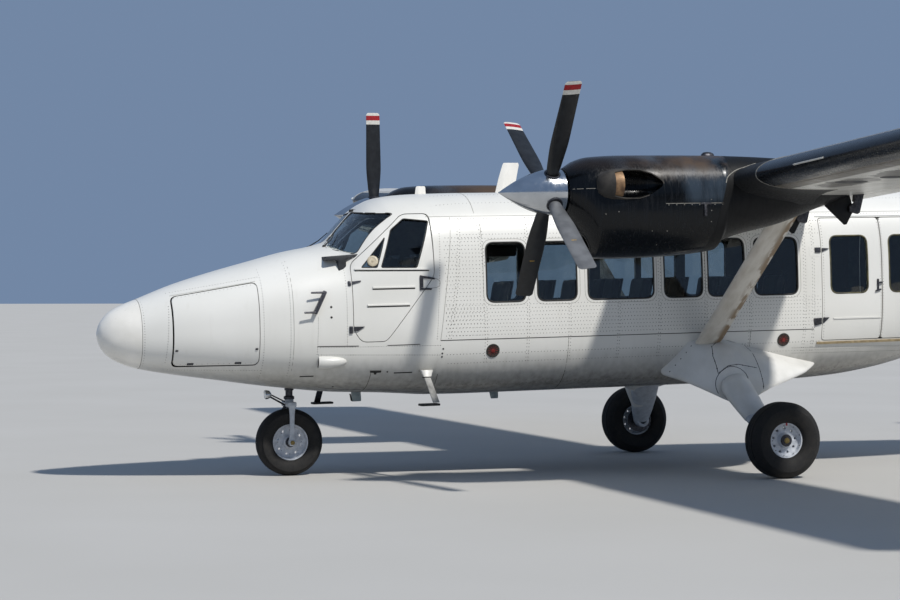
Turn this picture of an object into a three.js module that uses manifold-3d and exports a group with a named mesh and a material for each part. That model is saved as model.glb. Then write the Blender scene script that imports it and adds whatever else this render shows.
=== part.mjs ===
// High-wing twin turboprop airliner for nineteen passengers, parked on its fixed gear.
// Millimetres, +X towards the nose, +Y to port, +Z up, origin on the ground under the middle of the aircraft.
import * as THREE from 'three';
import { mergeVertices } from 'three/addons/utils/BufferGeometryUtils.js';
import Module from 'manifold-3d';

const wasm = await Module();
wasm.setup();

// Stance: stations run aft from the nose tip, heights are over the ground line of the main wheels
const MAIN_STATION = 6420;
const WHEELBASE = 4533;
const NOSE_DOWN = THREE.MathUtils.degToRad(1.38);
const MAIN_X = 1424;
const TRACK = 3710;

// Gaps
const TOUCH = 0.3;
const PIN_GAP = 0.4;
const DOOR_GAP = 7;
const SURFACE_GAP = 8;

// Fuselage: columns are station, bottom, top, half width, roundness of the top, roundness of the bottom
const FUSELAGE = [
  [0, 1545, 1590, 24, 2.0, 2.0],
  [40, 1432, 1696, 140, 2.0, 2.0],
  [120, 1345, 1784, 232, 2.1, 2.1],
  [240, 1278, 1852, 312, 2.1, 2.1],
  [385, 1228, 1906, 382, 2.2, 2.2],
  [755, 1155, 2045, 535, 2.3, 2.3],
  [1150, 1092, 2160, 650, 2.4, 2.4],
  [1550, 1027, 2262, 745, 2.5, 2.5],
  [1850, 985, 2338, 798, 2.5, 2.6],
  [2300, 934, 2432, 848, 2.6, 2.8],
  [2420, 927, 2556, 857, 2.6, 2.9],
  [2580, 920, 2724, 865, 2.6, 3.0],
  [2700, 914, 2812, 869, 2.6, 3.0],
  [2830, 906, 2866, 872, 2.7, 3.1],
  [3000, 893, 2892, 874, 2.8, 3.2],
  [3240, 875, 2904, 875, 3.0, 3.2],
  [3730, 867, 2910, 875, 3.2, 3.2],
  [5470, 868, 2910, 875, 3.2, 3.2],
  [7300, 880, 2910, 875, 3.2, 3.2],
  [7780, 905, 2910, 875, 3.2, 3.2],
  [8300, 974, 2909, 872, 3.2, 3.1],
  [8950, 1128, 2904, 856, 3.1, 3.0],
  [10450, 1490, 2880, 735, 2.8, 2.7],
  [12500, 1950, 2830, 470, 2.4, 2.3],
  [14300, 2280, 2760, 215, 2.1, 2.1],
  [14960, 2400, 2690, 105, 2.0, 2.0],
];
const RING_POINTS = 20;
const NACELLE_POINTS = 16;
const ROUND_SIDES = 10;
const WHEEL_SEGMENTS = 20;
const WALL = 65;
const FLOOR_TOP = 1290;
const CEILING = 2805;
const ROOF_SPLIT = 2660;

// Where the fuselage is jointed, by station
const RADOME_END = 385;
const BAY_FRONT = 600;
const BAY_BACK = 1700;
const NOSE_END = 1780;
const FOOTWELL = 1900;
const COCKPIT_END = 3240;
const CABIN_END = 8950;
const AFT_BAY_END = 10450;

// Wing
const WING_ROOT = 420;
const HALF_SPAN = 9905;
const CHORD = 1980;
const WING_LE = 5350;
const WING_Z = 2725;
const DIHEDRAL = THREE.MathUtils.degToRad(3);
const INCIDENCE = THREE.MathUtils.degToRad(2.5);
const FLAP_SPAN = [950, 6000];
const FLAP_STATION = 6730;
const FLAP_PIVOT = { station: 6705, drop: 205 };
const FLAP_ARMS = [1750, 4250, 5600];
const AILERON_SPAN = [6016, 9640];
const AILERON_HINGE = 6950;

// Engines
const ENGINE_Y = 2812;
const SHAFT_Z = 2796;
const PROP_STATION = 3654;
const PROP_RADIUS = 1165;
const SPINNER_LENGTH = 476;
const SPINNER_BASE = 118;
const SPINNER_RADIUS = 205;
const HUB = { radius: 150, reach: 92 };
const SHANK_RADIUS = 78;
const PORT_BLADE_ANGLE = 36.8;
const STARBOARD_BLADE_ANGLE = 2;
// Where the engine cowl meets the nacelle's tail
const COWL_JOINT = 4900;
const ENGINE = { front: 4000, back: 5230, radius: 240 };
const INTAKE = { reach: 165, low: 2262, high: 2400 };
const RISER = { front: 4700, back: 4900, reach: 90, high: 2700 };
const NACELLE = [
  [3790, 2588, 3003, 206, 2.0],
  [3890, 2440, 3068, 296, 2.2],
  [4030, 2192, 3108, 360, 2.4],
  [4330, 2186, 3122, 396, 2.5],
  [4640, 2192, 3122, 400, 2.6],
  [5215, 2243, 3117, 396, 2.6],
  [5260, 2310, 3116, 392, 2.6],
  [5940, 2488, 3086, 330, 2.5],
  [6240, 2590, 3030, 245, 2.3],
  [6640, 2722, 2900, 90, 2.0],
];

// Gear
const NOSE_WHEEL = { radius: 334, width: 220, rim: 180 };
const MAIN_WHEEL = { radius: 376, width: 285, rim: 172 };
const MAIN_AXLE_RADIUS = 40;
const NOSE_AXLE_RADIUS = 28;

// Tail
const RUDDER_HINGE = { low: [14760, 2420], high: [14850, 5690] };
const TAILPLANE_Z = 3330;
const TAILPLANE_LE = 13340;
const TAILPLANE_CHORD = 1500;
const TAILPLANE_HALF_SPAN = 3150;
const ELEVATOR_HINGE = 14300;
const ELEVATOR_ROOT = 200;
const RUDDER_NOSE = [132, 72];
const ELEVATOR_NOSE = [66, 66];
const TAIL_WALL = 40;
const FIN_CORE = 0.86;

const PAINT = {
  white: { color: 0xe6e4df, roughness: 0.45, metalness: 0.0 },
  black: { color: 0x14161a, roughness: 0.3, metalness: 0.0 },
  metal: { color: 0xb9bcc0, roughness: 0.3, metalness: 0.9 },
  grey: { color: 0xa9adb0, roughness: 0.5, metalness: 0.1 },
  dark: { color: 0x2a2c30, roughness: 0.6, metalness: 0.0 },
  tyre: { color: 0x1b1b1c, roughness: 0.85, metalness: 0.0 },
  glass: { color: 0x5d7684, roughness: 0.1, metalness: 0.0, transparent: true, opacity: 0.5 },
};

// Places in the level airframe
function at(station, y, z) {
  return new THREE.Vector3(MAIN_STATION - station, y, z);
}

// Solids
function solidOf(geometry) {
  const plain = geometry.clone();
  plain.deleteAttribute('normal');
  plain.deleteAttribute('uv');
  const merged = mergeVertices(plain, 1e-3);
  return new wasm.Manifold(new wasm.Mesh({
    numProp: 3,
    vertProperties: new Float32Array(merged.attributes.position.array),
    triVerts: new Uint32Array(merged.index.array),
  }));
}

function geometryOf(solid) {
  const mesh = solid.getMesh();
  const geometry = new THREE.BufferGeometry();
  geometry.setAttribute('position', new THREE.BufferAttribute(new Float32Array(mesh.vertProperties), 3));
  geometry.setIndex(new THREE.BufferAttribute(new Uint32Array(mesh.triVerts), 1));
  geometry.computeVertexNormals();
  return geometry;
}

// The largest piece of a cut solid
function mainPiece(solid) {
  const pieces = solid.decompose().sort((a, b) => b.volume() - a.volume());
  return pieces[0];
}

function joinAll(solids) {
  return solids.reduce((whole, piece) => whole.add(piece));
}

function cutAll(solid, cutters) {
  return cutters.reduce((rest, cutter) => rest.subtract(cutter), solid);
}

// A closed skin over rings of equal length
function loftGeometry(rings) {
  const count = rings[0].length;
  const positions = rings.flat().flatMap((point) => point.toArray());
  const index = [];
  for (let ring = 0; ring + 1 < rings.length; ring += 1) {
    for (let i = 0; i < count; i += 1) {
      const next = (i + 1) % count;
      const a = ring * count + i;
      const b = ring * count + next;
      const c = (ring + 1) * count + next;
      const d = (ring + 1) * count + i;
      index.push(a, b, c, a, c, d);
    }
  }
  for (const [ring, flip] of [[0, true], [rings.length - 1, false]]) {
    const centre = new THREE.Vector3();
    rings[ring].forEach((point) => centre.add(point));
    centre.divideScalar(count);
    const hub = positions.length / 3;
    positions.push(...centre.toArray());
    for (let i = 0; i < count; i += 1) {
      const a = ring * count + i;
      const b = ring * count + (i + 1) % count;
      index.push(...(flip ? [hub, b, a] : [hub, a, b]));
    }
  }
  const geometry = new THREE.BufferGeometry();
  geometry.setAttribute('position', new THREE.Float32BufferAttribute(positions, 3));
  geometry.setIndex(index);
  if (signedVolume(geometry) < 0) {
    for (let i = 0; i < index.length; i += 3) {
      [index[i], index[i + 1]] = [index[i + 1], index[i]];
    }
    geometry.setIndex(index);
  }
  return geometry;
}

function signedVolume(geometry) {
  const position = geometry.attributes.position;
  const index = geometry.index.array;
  const [a, b, c] = [new THREE.Vector3(), new THREE.Vector3(), new THREE.Vector3()];
  let volume = 0;
  for (let i = 0; i < index.length; i += 3) {
    a.fromBufferAttribute(position, index[i]);
    b.fromBufferAttribute(position, index[i + 1]);
    c.fromBufferAttribute(position, index[i + 2]);
    volume += a.dot(b.cross(c));
  }
  return volume;
}

// A prism over an outline: side outlines are (station, z), front ones (y, z), plan ones (station, y)
function prism(view, outline, from, to) {
  const flat = outline.map(([a, b]) => new THREE.Vector2(view === 'front' ? a : MAIN_STATION - a, b));
  const shape = new THREE.Shape(flat);
  const geometry = new THREE.ExtrudeGeometry(shape, { depth: to - from, bevelEnabled: false });
  if (view === 'side') {
    geometry.rotateX(Math.PI / 2).translate(0, to, 0);
  } else if (view === 'front') {
    const turn = new THREE.Matrix4().makeBasis(
      new THREE.Vector3(0, 1, 0), new THREE.Vector3(0, 0, 1), new THREE.Vector3(1, 0, 0));
    geometry.applyMatrix4(turn).translate(MAIN_STATION - to, 0, 0);
  } else {
    geometry.translate(0, 0, from);
  }
  return solidOf(geometry);
}

function box(stations, ys, zs) {
  const outline = [[stations[0], zs[0]], [stations[1], zs[0]], [stations[1], zs[1]], [stations[0], zs[1]]];
  return prism('side', outline, ys[0], ys[1]);
}

// An outline moved in by a distance along its corners' bisectors
function inset(outline, distance) {
  const area = outline.reduce((sum, [x, y], i) => {
    const [u, v] = outline[(i + 1) % outline.length];
    return sum + x * v - u * y;
  }, 0);
  const side = Math.sign(area);
  return outline.map((point, i) => {
    const here = new THREE.Vector2(...point);
    const back = here.clone().sub(new THREE.Vector2(...outline.at(i - 1))).normalize();
    const ahead = new THREE.Vector2(...outline[(i + 1) % outline.length]).sub(here).normalize();
    const normalBack = new THREE.Vector2(-back.y, back.x);
    const normalAhead = new THREE.Vector2(-ahead.y, ahead.x);
    const bisector = normalBack.clone().add(normalAhead).normalize();
    const reach = distance / bisector.dot(normalAhead);
    return here.addScaledVector(bisector, side * reach).toArray();
  });
}

// An outline with its corners rounded by arcs of a few points
function rounded(outline, radius, steps = 2) {
  return outline.flatMap((point, i) => {
    const here = new THREE.Vector2(...point);
    const back = new THREE.Vector2(...outline.at(i - 1)).sub(here);
    const ahead = new THREE.Vector2(...outline[(i + 1) % outline.length]).sub(here);
    const reach = Math.min(radius, back.length() * 0.45, ahead.length() * 0.45);
    const start = here.clone().addScaledVector(back.normalize(), reach);
    const end = here.clone().addScaledVector(ahead.normalize(), reach);
    const curve = new THREE.QuadraticBezierCurve(start, here, end);
    return curve.getPoints(steps).map((p) => p.toArray());
  });
}

// A round bar between two points, straight or tapered
function rod(start, end, radiusStart, radiusEnd = radiusStart, sides = ROUND_SIDES) {
  const axis = end.clone().sub(start);
  const geometry = new THREE.CylinderGeometry(radiusEnd, radiusStart, axis.length(), sides);
  geometry.translate(0, axis.length() / 2, 0);
  const turn = new THREE.Quaternion().setFromUnitVectors(new THREE.Vector3(0, 1, 0), axis.clone().normalize());
  geometry.applyQuaternion(turn).translate(...start.toArray());
  return solidOf(geometry);
}

// A straight block between two points: its width lies along the side direction
function bar(start, end, width, depth, side) {
  const along = end.clone().sub(start);
  const length = along.length();
  along.normalize();
  const across = side.clone().addScaledVector(along, -side.dot(along)).normalize();
  const up = new THREE.Vector3().crossVectors(along, across);
  const geometry = new THREE.BoxGeometry(length, width, depth).translate(length / 2, 0, 0);
  geometry.applyMatrix4(new THREE.Matrix4().makeBasis(along, across, up)).translate(...start.toArray());
  return solidOf(geometry);
}

// Row of a table at any station, straight between its rows and past its ends
function rowAt(table, station) {
  const passed = table.filter((row) => row[0] <= station).length;
  const first = THREE.MathUtils.clamp(passed - 1, 0, table.length - 2);
  const [before, after] = [table[first], table[first + 1]];
  const share = (station - before[0]) / (after[0] - before[0]);
  return before.map((value, column) => value + (after[column] - value) * share);
}

// A ring of points round a body whose middle line lies at y0
function ring(table, station, thickness, y0, points) {
  const [, bottom, top, half, roundTop, roundBottom = roundTop] = rowAt(table, station);
  const middle = (top + bottom) / 2;
  const height = (top - bottom) / 2 - thickness;
  const width = half - thickness;
  return Array.from({ length: points }, (_, i) => {
    const angle = (i + 0.5) / points * 2 * Math.PI;
    const [c, s] = [Math.cos(angle), Math.sin(angle)];
    const power = 2 / (s > 0 ? roundTop : roundBottom);
    const y = width * Math.sign(c) * Math.abs(c) ** power;
    const z = height * Math.sign(s) * Math.abs(s) ** power;
    return at(station, y0 + y, middle + z);
  });
}

function hull(table, from, to, thickness = 0, y0 = 0, points = RING_POINTS) {
  const between = table.map((row) => row[0]).filter((station) => station > from + 1 && station < to - 1);
  const rings = [from, ...between, to].map((station) => ring(table, station, thickness, y0, points));
  return solidOf(loftGeometry(rings));
}

// Hinge of two coaxial barrels: one for the moving piece, the next for what carries it
function hinge(point, axis, towardMoving, towardFixed, size) {
  const [radius, length, reach] = size;
  const direction = axis.clone().normalize();
  const middle = point.clone().addScaledVector(direction, length + PIN_GAP);
  const halves = [[point, towardMoving], [middle, towardFixed]];
  const [moving, fixed] = halves.map(([start, toward]) => {
    const end = start.clone().addScaledVector(direction, length);
    const barrel = rod(start, end, radius, radius, 6);
    const centre = start.clone().lerp(end, 0.5);
    const out = toward.clone().addScaledVector(direction, -toward.dot(direction)).normalize();
    const leaf = bar(centre, centre.clone().addScaledVector(out, reach), length, radius, direction);
    return barrel.add(leaf);
  });
  return { moving, fixed };
}

// Aerofoil outline as (share of chord, share of chord), from the trailing edge over the top and back below
function aerofoil(thickness, camber, steps = 8) {
  const crest = 0.4;
  const half = (x) => 5 * thickness * (0.2969 * Math.sqrt(x) - 0.126 * x - 0.3516 * x ** 2
    + 0.2843 * x ** 3 - 0.1015 * x ** 4);
  const mean = (x) => (x < crest
    ? camber / crest ** 2 * (2 * crest * x - x ** 2)
    : camber / (1 - crest) ** 2 * (1 - 2 * crest + 2 * crest * x - x ** 2));
  const places = Array.from({ length: steps + 1 }, (_, i) => 0.5 * (1 + Math.cos(i / steps * Math.PI)));
  const top = places.map((x) => [x, mean(x) + half(x) + 0.001 * x]);
  const bottom = places.slice(0, -1).reverse().map((x) => [x, mean(x) - half(x) - 0.001 * x]);
  return [...top, ...bottom];
}

const WING_SECTION = aerofoil(0.16, 0.02);
const TAIL_SECTION = aerofoil(0.12, 0);

// Wing section at a span position, grown all round by a margin or scaled about its own middle
function wingRing(y, margin = 0, scale = 1) {
  const z = WING_Z + y * Math.tan(DIHEDRAL);
  const stretch = 1 + 2 * margin / CHORD;
  const swell = 1 + 2 * margin / (0.16 * CHORD);
  return WING_SECTION.map(([x, h]) => {
    const along = ((x - 0.4) * stretch * scale + 0.4) * CHORD;
    const up = ((h - 0.02) * swell * scale + 0.02) * CHORD;
    const station = WING_LE + along * Math.cos(INCIDENCE) + up * Math.sin(INCIDENCE);
    return at(station, y, z - along * Math.sin(INCIDENCE) + up * Math.cos(INCIDENCE));
  });
}

function wingSolid(from, to, margin = 0) {
  return solidOf(loftGeometry([wingRing(from, margin), wingRing(to, margin)]));
}

// Height of the chord line at a place on the wing
function wingZ(station, y) {
  return WING_Z + y * Math.tan(DIHEDRAL) - (station - WING_LE) * Math.tan(INCIDENCE);
}

const airframe = new THREE.Group();
airframe.rotation.y = NOSE_DOWN;
airframe.position.x = MAIN_X;
const ground = new THREE.Group();
ground.position.x = MAIN_X;
const group = new THREE.Group();
group.add(airframe, ground);

function part(name, solid, paint, parent = airframe) {
  const mesh = new THREE.Mesh(geometryOf(mainPiece(solid)), new THREE.MeshStandardMaterial(PAINT[paint]));
  mesh.name = name;
  parent.add(mesh);
}

// Left and right copies of a solid made for port
function mirrored(solid) {
  const geometry = geometryOf(solid);
  geometry.scale(1, -1, 1);
  const index = geometry.index.array;
  for (let i = 0; i < index.length; i += 3) {
    [index[i], index[i + 1]] = [index[i + 1], index[i]];
  }
  return solidOf(geometry);
}

function pair(name, solid, paint, parent = airframe) {
  part(`${name}_left`, solid, paint, parent);
  part(`${name}_right`, mirrored(solid), paint, parent);
}

const UP = new THREE.Vector3(0, 0, 1);

// Upright door hinges: how far their line stands off the skin, and how deep their leaves go into it
const HINGE_BITE = 12;
const DOOR_BARREL = { radius: 9, length: 40 };
const LEAF_SLOPE = 0.9;

function doorHinges({ station, y }, side, turn, heights) {
  return heights.map((z) => {
    const stand = y - Math.min(skinY(station, z), skinY(station, z + 2 * DOOR_BARREL.length));
    const reach = (stand + HINGE_BITE) * Math.hypot(1, LEAF_SLOPE) / LEAF_SLOPE;
    const inward = -side * LEAF_SLOPE;
    return hinge(at(station, side * y, z), UP, new THREE.Vector3(turn, inward, 0),
      new THREE.Vector3(-turn, inward, 0), [DOOR_BARREL.radius, DOOR_BARREL.length, reach]);
  });
}

// A panel of the fuselage's skin as deep as stated, cut out by a side outline
function panel(from, to, depth, outline, side = 1) {
  const skin = hull(FUSELAGE, from, to).subtract(hull(FUSELAGE, from - 1, to + 1, depth));
  const [near, far] = side > 0 ? [100, 1000] : [-1000, -100];
  return skin.intersect(prism('side', outline, near, far));
}

// Nose: radome, baggage bay and its door
const NOSE_DOOR = [[655, 1242], [1464, 1242], [1464, 2052], [655, 1922]];
const NOSE_LEAF = [[664, 1248], [1464, 1244], [1464, 2052], [664, 1924]];
const NOSE_HINGE_STATIONS = [1400, 720];

// A point a little outside the port skin, with the outward and downward directions there
function outsideSkin(station, z, distance) {
  const y = skinY(station, z);
  const slope = (skinY(station, z - 5) - y) / 5;
  const down = new THREE.Vector3(0, slope, -1).normalize();
  const out = new THREE.Vector3(0, 1, slope).normalize();
  return { point: at(station, y, z).addScaledVector(out, distance), down, out };
}

function nose() {
  part('nose_cone', hull(FUSELAGE, 0, RADOME_END), 'white');
  const outer = hull(FUSELAGE, RADOME_END + TOUCH, NOSE_END);
  const bay = hull(FUSELAGE, BAY_FRONT, BAY_BACK, 45);
  const opening = prism('side', rounded(NOSE_DOOR, 60), 100, 1000);
  const door = panel(BAY_FRONT - 50, BAY_BACK, 22, rounded(inset(NOSE_LEAF, DOOR_GAP), 55));
  let shell = outer.subtract(bay).subtract(opening);
  let leaf = door;
  const [back, front] = NOSE_HINGE_STATIONS.map((station) => {
    const share = (station - NOSE_DOOR[0][0]) / (NOSE_DOOR[1][0] - NOSE_DOOR[0][0]);
    return outsideSkin(station, NOSE_DOOR[3][1] + share * (NOSE_DOOR[2][1] - NOSE_DOOR[3][1]), 19);
  });
  const line = front.point.clone().sub(back.point);
  for (const [share, skin] of [[0.02, back], [0.86, front]]) {
    const place = back.point.clone().addScaledVector(line, share);
    const moving = skin.down.clone().addScaledVector(skin.out, -0.75);
    const fixed = skin.down.clone().negate().addScaledVector(skin.out, -0.75);
    const half = hinge(place, line, moving, fixed, [8, 45, 40]);
    shell = shell.add(half.fixed);
    leaf = leaf.add(half.moving);
  }
  part('nose_section', shell, 'white');
  part('nose_baggage_door', leaf, 'white');
}

// Cockpit: shell with floor, front and rear bulkheads, windscreens and crew doors
const SCREEN = [[30, 2448], [700, 2312], [618, 2694], [30, 2728]];
const CREW_DOOR = [
  [2356, 1560], [2440, 1448], [2672, 1448], [2720, 1480], [3090, 1940], [3190, 2070], [3190, 2690], [2920, 2690],
  [2356, 2200],
];
// The leaf is shorter than its doorway at the top of its aft edge, which swings aft as it opens
const CREW_LEAF = CREW_DOOR.map(([station, z]) => [z === 2690 && station > 3000 ? 3182 : station, z]);
const SIDE_WINDOW = [[2650, 2164], [3007, 2157], [3164, 2610], [2922, 2637], [2779, 2528]];
const CORNER_WINDOW = [[2465, 2167], [2609, 2164], [2707, 2443]];
const INSTRUMENT_BOARD = [
  [2130, 2240], [2250, 2240], [2250, 1560], [2330, 1560], [2330, 2250], [2450, 2270], [2450, 2300], [2130, 2280],
];
const BOARD_REACH = 740;
const CONSOLE = { back: 2600, reach: 130, low: 1500, high: 1640 };
const CREW_SEATS = { station: 2640, ys: [-380, 380], width: 440, cushion: 1720, top: 2330 };
const DOORWAY_REACH = 280;
const DOORWAY_TOP = 2700;
const GLASS_REACH = [[2420, 2120], [3060, 2120], [3172, 2655], [2900, 2655], [2420, 2230]];
const CREW_HINGE = { station: 2346, y: 868 };

function cockpit() {
  const outer = hull(FUSELAGE, NOSE_END + TOUCH, COCKPIT_END);
  const room = hull(FUSELAGE, FOOTWELL, COCKPIT_END - 40, 60).intersect(
    box([FOOTWELL, COCKPIT_END], [-1000, 1000], [FLOOR_TOP, 3000]));
  const doorway = box([COCKPIT_END - 100, COCKPIT_END + 100], [-DOORWAY_REACH, DOORWAY_REACH],
    [FLOOR_TOP, DOORWAY_TOP]);
  let shell = cutAll(outer, [room, doorway]);
  for (const side of [1, -1]) {
    const label = side > 0 ? 'left' : 'right';
    const screen = SCREEN.map(([y, z]) => [side * y, z]);
    const frame = prism('front', screen, 2100, 2960);
    shell = shell.subtract(frame);
    const sheet = hull(FUSELAGE, 2200, 3000, 6).subtract(hull(FUSELAGE, 2190, 3010, 20));
    const pane = sheet.intersect(prism('front', inset(screen, TOUCH), 2210, 2950));
    part(`windscreen_${label}`, pane, 'glass');

    const [near, far] = side > 0 ? [300, 1000] : [-1000, -300];
    shell = shell.subtract(prism('side', rounded(CREW_DOOR, 60), near, far));
    let door = panel(2200, 3238, 40, rounded(inset(CREW_LEAF, DOOR_GAP), 55), side);
    for (const outline of [SIDE_WINDOW, CORNER_WINDOW]) {
      door = door.subtract(prism('side', rounded(outline, 25, 2), near, far));
    }
    const glass = hull(FUSELAGE, 2200, 3230, 18).subtract(hull(FUSELAGE, 2190, 3236, 26))
      .intersect(prism('side', GLASS_REACH, near, far));
    const seat = hull(FUSELAGE, 2200, 3230, 18 - TOUCH).subtract(hull(FUSELAGE, 2190, 3236, 60))
      .intersect(prism('side', inset(GLASS_REACH, -TOUCH), near, far));
    door = door.subtract(seat);
    for (const half of doorHinges(CREW_HINGE, side, -1, [1570, 2010])) {
      door = door.add(half.moving);
      shell = shell.add(half.fixed);
    }
    part(`crew_door_${label}`, door, 'white');
    part(`crew_door_glass_${label}`, glass, 'glass');
  }
  part('cockpit_shell', shell, 'white');

  const board = prism('side', INSTRUMENT_BOARD, -BOARD_REACH, BOARD_REACH);
  const across = [-CONSOLE.reach, CONSOLE.reach];
  const neck = box([2300, 2340], across, [CONSOLE.low, CONSOLE.high]);
  const console = box([2331, CONSOLE.back], across, [FLOOR_TOP + TOUCH, CONSOLE.high]);
  const inside = hull(FUSELAGE, FOOTWELL, COCKPIT_END - 40, 60 + TOUCH);
  part('instrument_panel', joinAll([board, neck, console]).intersect(inside), 'dark');

  const { station, ys } = CREW_SEATS;
  const rail = box([station + 80, station + 350], [-560, 560], [FLOOR_TOP + TOUCH, FLOOR_TOP + 40]);
  const seats = ys.flatMap((y) => seatBlocks(station, y, CREW_SEATS));
  part('crew_seats', joinAll([rail, ...seats]), 'dark');
}

// One seat as blocks: foot, cushion and leaning back
function seatBlocks(station, y, { width, cushion, top }) {
  const half = width / 2;
  const foot = box([station + 90, station + 340], [y - half * 0.7, y + half * 0.7], [FLOOR_TOP + 10, cushion - 100]);
  const pad = box([station, station + 430], [y - half, y + half], [cushion - 120, cushion]);
  const back = prism('side', [[station + 340, cushion - 80], [station + 430, cushion - 80], [station + 520, top],
    [station + 430, top]], y - half, y + half);
  return [foot, pad, back];
}

// Cabin: floor with the belly, two walls, roof and seats
const FRONT_LEAF_HINGE = { station: 7422, y: 892 };
const BACK_LEAF_HINGE = { station: 8838, y: 875 };
const RIGHT_DOOR_HINGE = { station: 8062, y: 890 };
const REAR_DOOR = { front: 7420, split: 8130, back: 8840, low: FLOOR_TOP + 12, high: 2587 };
const RIGHT_DOOR = { front: 8060, back: 8820, low: FLOOR_TOP + 12, high: 2480 };
const DOOR_RIM = 45;
const SEAT_ROWS = [3542, 4302, 5062, 5822, 6582];
const SEAT_FILES = [
  { label: 'left', y: 525, width: 430, rail: [430, 620], cushion: 1680, top: 2040 },
  { label: 'right', y: -400, width: 700, rail: [-600, -300], cushion: 1680, top: 2040 },
];

function doorOutline(front, back, low, high) {
  return [[front, low], [back, low], [back, high], [front, high]];
}

function wallAt(side) {
  const skin = hull(FUSELAGE, COCKPIT_END + TOUCH, CABIN_END).subtract(
    hull(FUSELAGE, COCKPIT_END - 10, CABIN_END + 10, WALL));
  const [near, far] = side > 0 ? [0, 1000] : [-1000, 0];
  return skin.intersect(box([COCKPIT_END, CABIN_END], [near, far], [FLOOR_TOP + TOUCH, ROOF_SPLIT - TOUCH]));
}

// A cabin door leaf with its hinge line just outside the skin
function cabinLeaf(outline, line, side, turn) {
  const halves = doorHinges(line, side, turn, [1560, 2260]);
  const leaf = panel(COCKPIT_END, CABIN_END, DOOR_RIM, rounded(inset(outline, DOOR_GAP / 2), 40), side);
  const moving = halves.map((half) => half.moving);
  return { leaf: joinAll([leaf, ...moving]), fixed: halves.map((half) => half.fixed) };
}

// Half width of the fuselage skin at a station and height
function skinY(station, z) {
  const [, bottom, top, half, roundTop, roundBottom] = rowAt(FUSELAGE, station);
  const middle = (top + bottom) / 2;
  const share = Math.abs(z - middle) / ((top - bottom) / 2);
  const power = z > middle ? roundTop : roundBottom;
  return half * (1 - share ** power) ** (1 / power);
}

function cabin() {
  const belly = hull(FUSELAGE, COCKPIT_END + TOUCH, CABIN_END).intersect(
    box([COCKPIT_END, CABIN_END], [-1000, 1000], [0, FLOOR_TOP]));
  part('cabin_floor', belly, 'white');

  const roof = hull(FUSELAGE, COCKPIT_END + TOUCH, CABIN_END).intersect(
    box([COCKPIT_END, CABIN_END], [-1000, 1000], [ROOF_SPLIT, 3000]));
  const ceiling = hull(FUSELAGE, COCKPIT_END - 10, CABIN_END + 10, WALL).intersect(
    box([COCKPIT_END - 5, CABIN_END + 5], [-1000, 1000], [ROOF_SPLIT - 50, CEILING]));
  part('cabin_roof', roof.subtract(ceiling), 'white');

  const whole = doorOutline(REAR_DOOR.front, REAR_DOOR.back, REAR_DOOR.low, REAR_DOOR.high);
  const front = doorOutline(REAR_DOOR.front, REAR_DOOR.split, REAR_DOOR.low, REAR_DOOR.high);
  const back = doorOutline(REAR_DOOR.split, REAR_DOOR.back, REAR_DOOR.low, REAR_DOOR.high);
  const right = doorOutline(RIGHT_DOOR.front, RIGHT_DOOR.back, RIGHT_DOOR.low, RIGHT_DOOR.high);
  // The right leaf's aft edge leans forward, clear of the narrowing skin as it opens
  const rightLeafOutline = right.map(([station, z]) => [
    station === RIGHT_DOOR.back ? station - (z === RIGHT_DOOR.low ? 13 : 5) : station, z]);
  const frontLeaf = cabinLeaf(inset(front, DOOR_GAP / 2), FRONT_LEAF_HINGE, 1, -1);
  const backLeaf = cabinLeaf(inset(back, DOOR_GAP / 2), BACK_LEAF_HINGE, 1, 1);
  const rightLeaf = cabinLeaf(inset(rightLeafOutline, DOOR_GAP / 2), RIGHT_DOOR_HINGE, -1, -1);
  let leftWall = wallAt(1).subtract(prism('side', rounded(whole, 45), 300, 1000));
  leftWall = joinAll([leftWall, ...frontLeaf.fixed, ...backLeaf.fixed]);
  let rightWall = wallAt(-1).subtract(prism('side', rounded(right, 45), -1000, -300));
  rightWall = joinAll([rightWall, ...rightLeaf.fixed]);
  part('cabin_wall_left', leftWall, 'white');
  part('cabin_wall_right', rightWall, 'white');
  part('rear_door_front_leaf', frontLeaf.leaf, 'white');
  part('rear_door_back_leaf', backLeaf.leaf, 'white');
  part('right_cabin_door', rightLeaf.leaf, 'white');

  for (const file of SEAT_FILES) {
    const seats = SEAT_ROWS.flatMap((station) => seatBlocks(station, file.y, file));
    const track = box([SEAT_ROWS[0] - 20, SEAT_ROWS.at(-1) + 540], file.rail, [FLOOR_TOP + TOUCH, FLOOR_TOP + 30]);
    part(`cabin_seats_${file.label}`, joinAll([track, ...seats]), 'dark');
  }
}

// Aft baggage bay with its door, and the closed tail
const AFT_DOOR = [[9140, 1440], [9790, 1520], [9790, 2410], [9140, 2410]];
const AFT_LEAF = [[9140, 1440], [9773, 1518], [9780, 2410], [9140, 2410]];
const AFT_HINGE = { station: 9130, y: 866 };
const AFT_FLOOR = 1420;

function tail() {
  const outer = hull(FUSELAGE, CABIN_END + TOUCH, AFT_BAY_END);
  const bay = hull(FUSELAGE, CABIN_END + 30, AFT_BAY_END - 40, WALL).intersect(
    box([CABIN_END, AFT_BAY_END], [-1000, 1000], [AFT_FLOOR, CEILING]));
  let shell = outer.subtract(bay).subtract(prism('side', rounded(AFT_DOOR, 50), 300, 1000));
  let door = panel(CABIN_END + 5, AFT_BAY_END - 5, 38, rounded(inset(AFT_LEAF, DOOR_GAP), 45));
  for (const half of doorHinges(AFT_HINGE, 1, -1, [1640, 2180])) {
    shell = shell.add(half.fixed);
    door = door.add(half.moving);
  }
  part('aft_bay', shell, 'white');
  part('aft_baggage_door', door, 'white');
}

// A swept surface over two or more sections: columns are leading edge, height or span, chord
function tailSurface(rows, place) {
  const rings = rows.map(([edge, span, chord]) => TAIL_SECTION.map(
    ([x, h]) => place(edge + x * chord, span, h * chord)));
  return solidOf(loftGeometry(rings));
}

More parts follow.
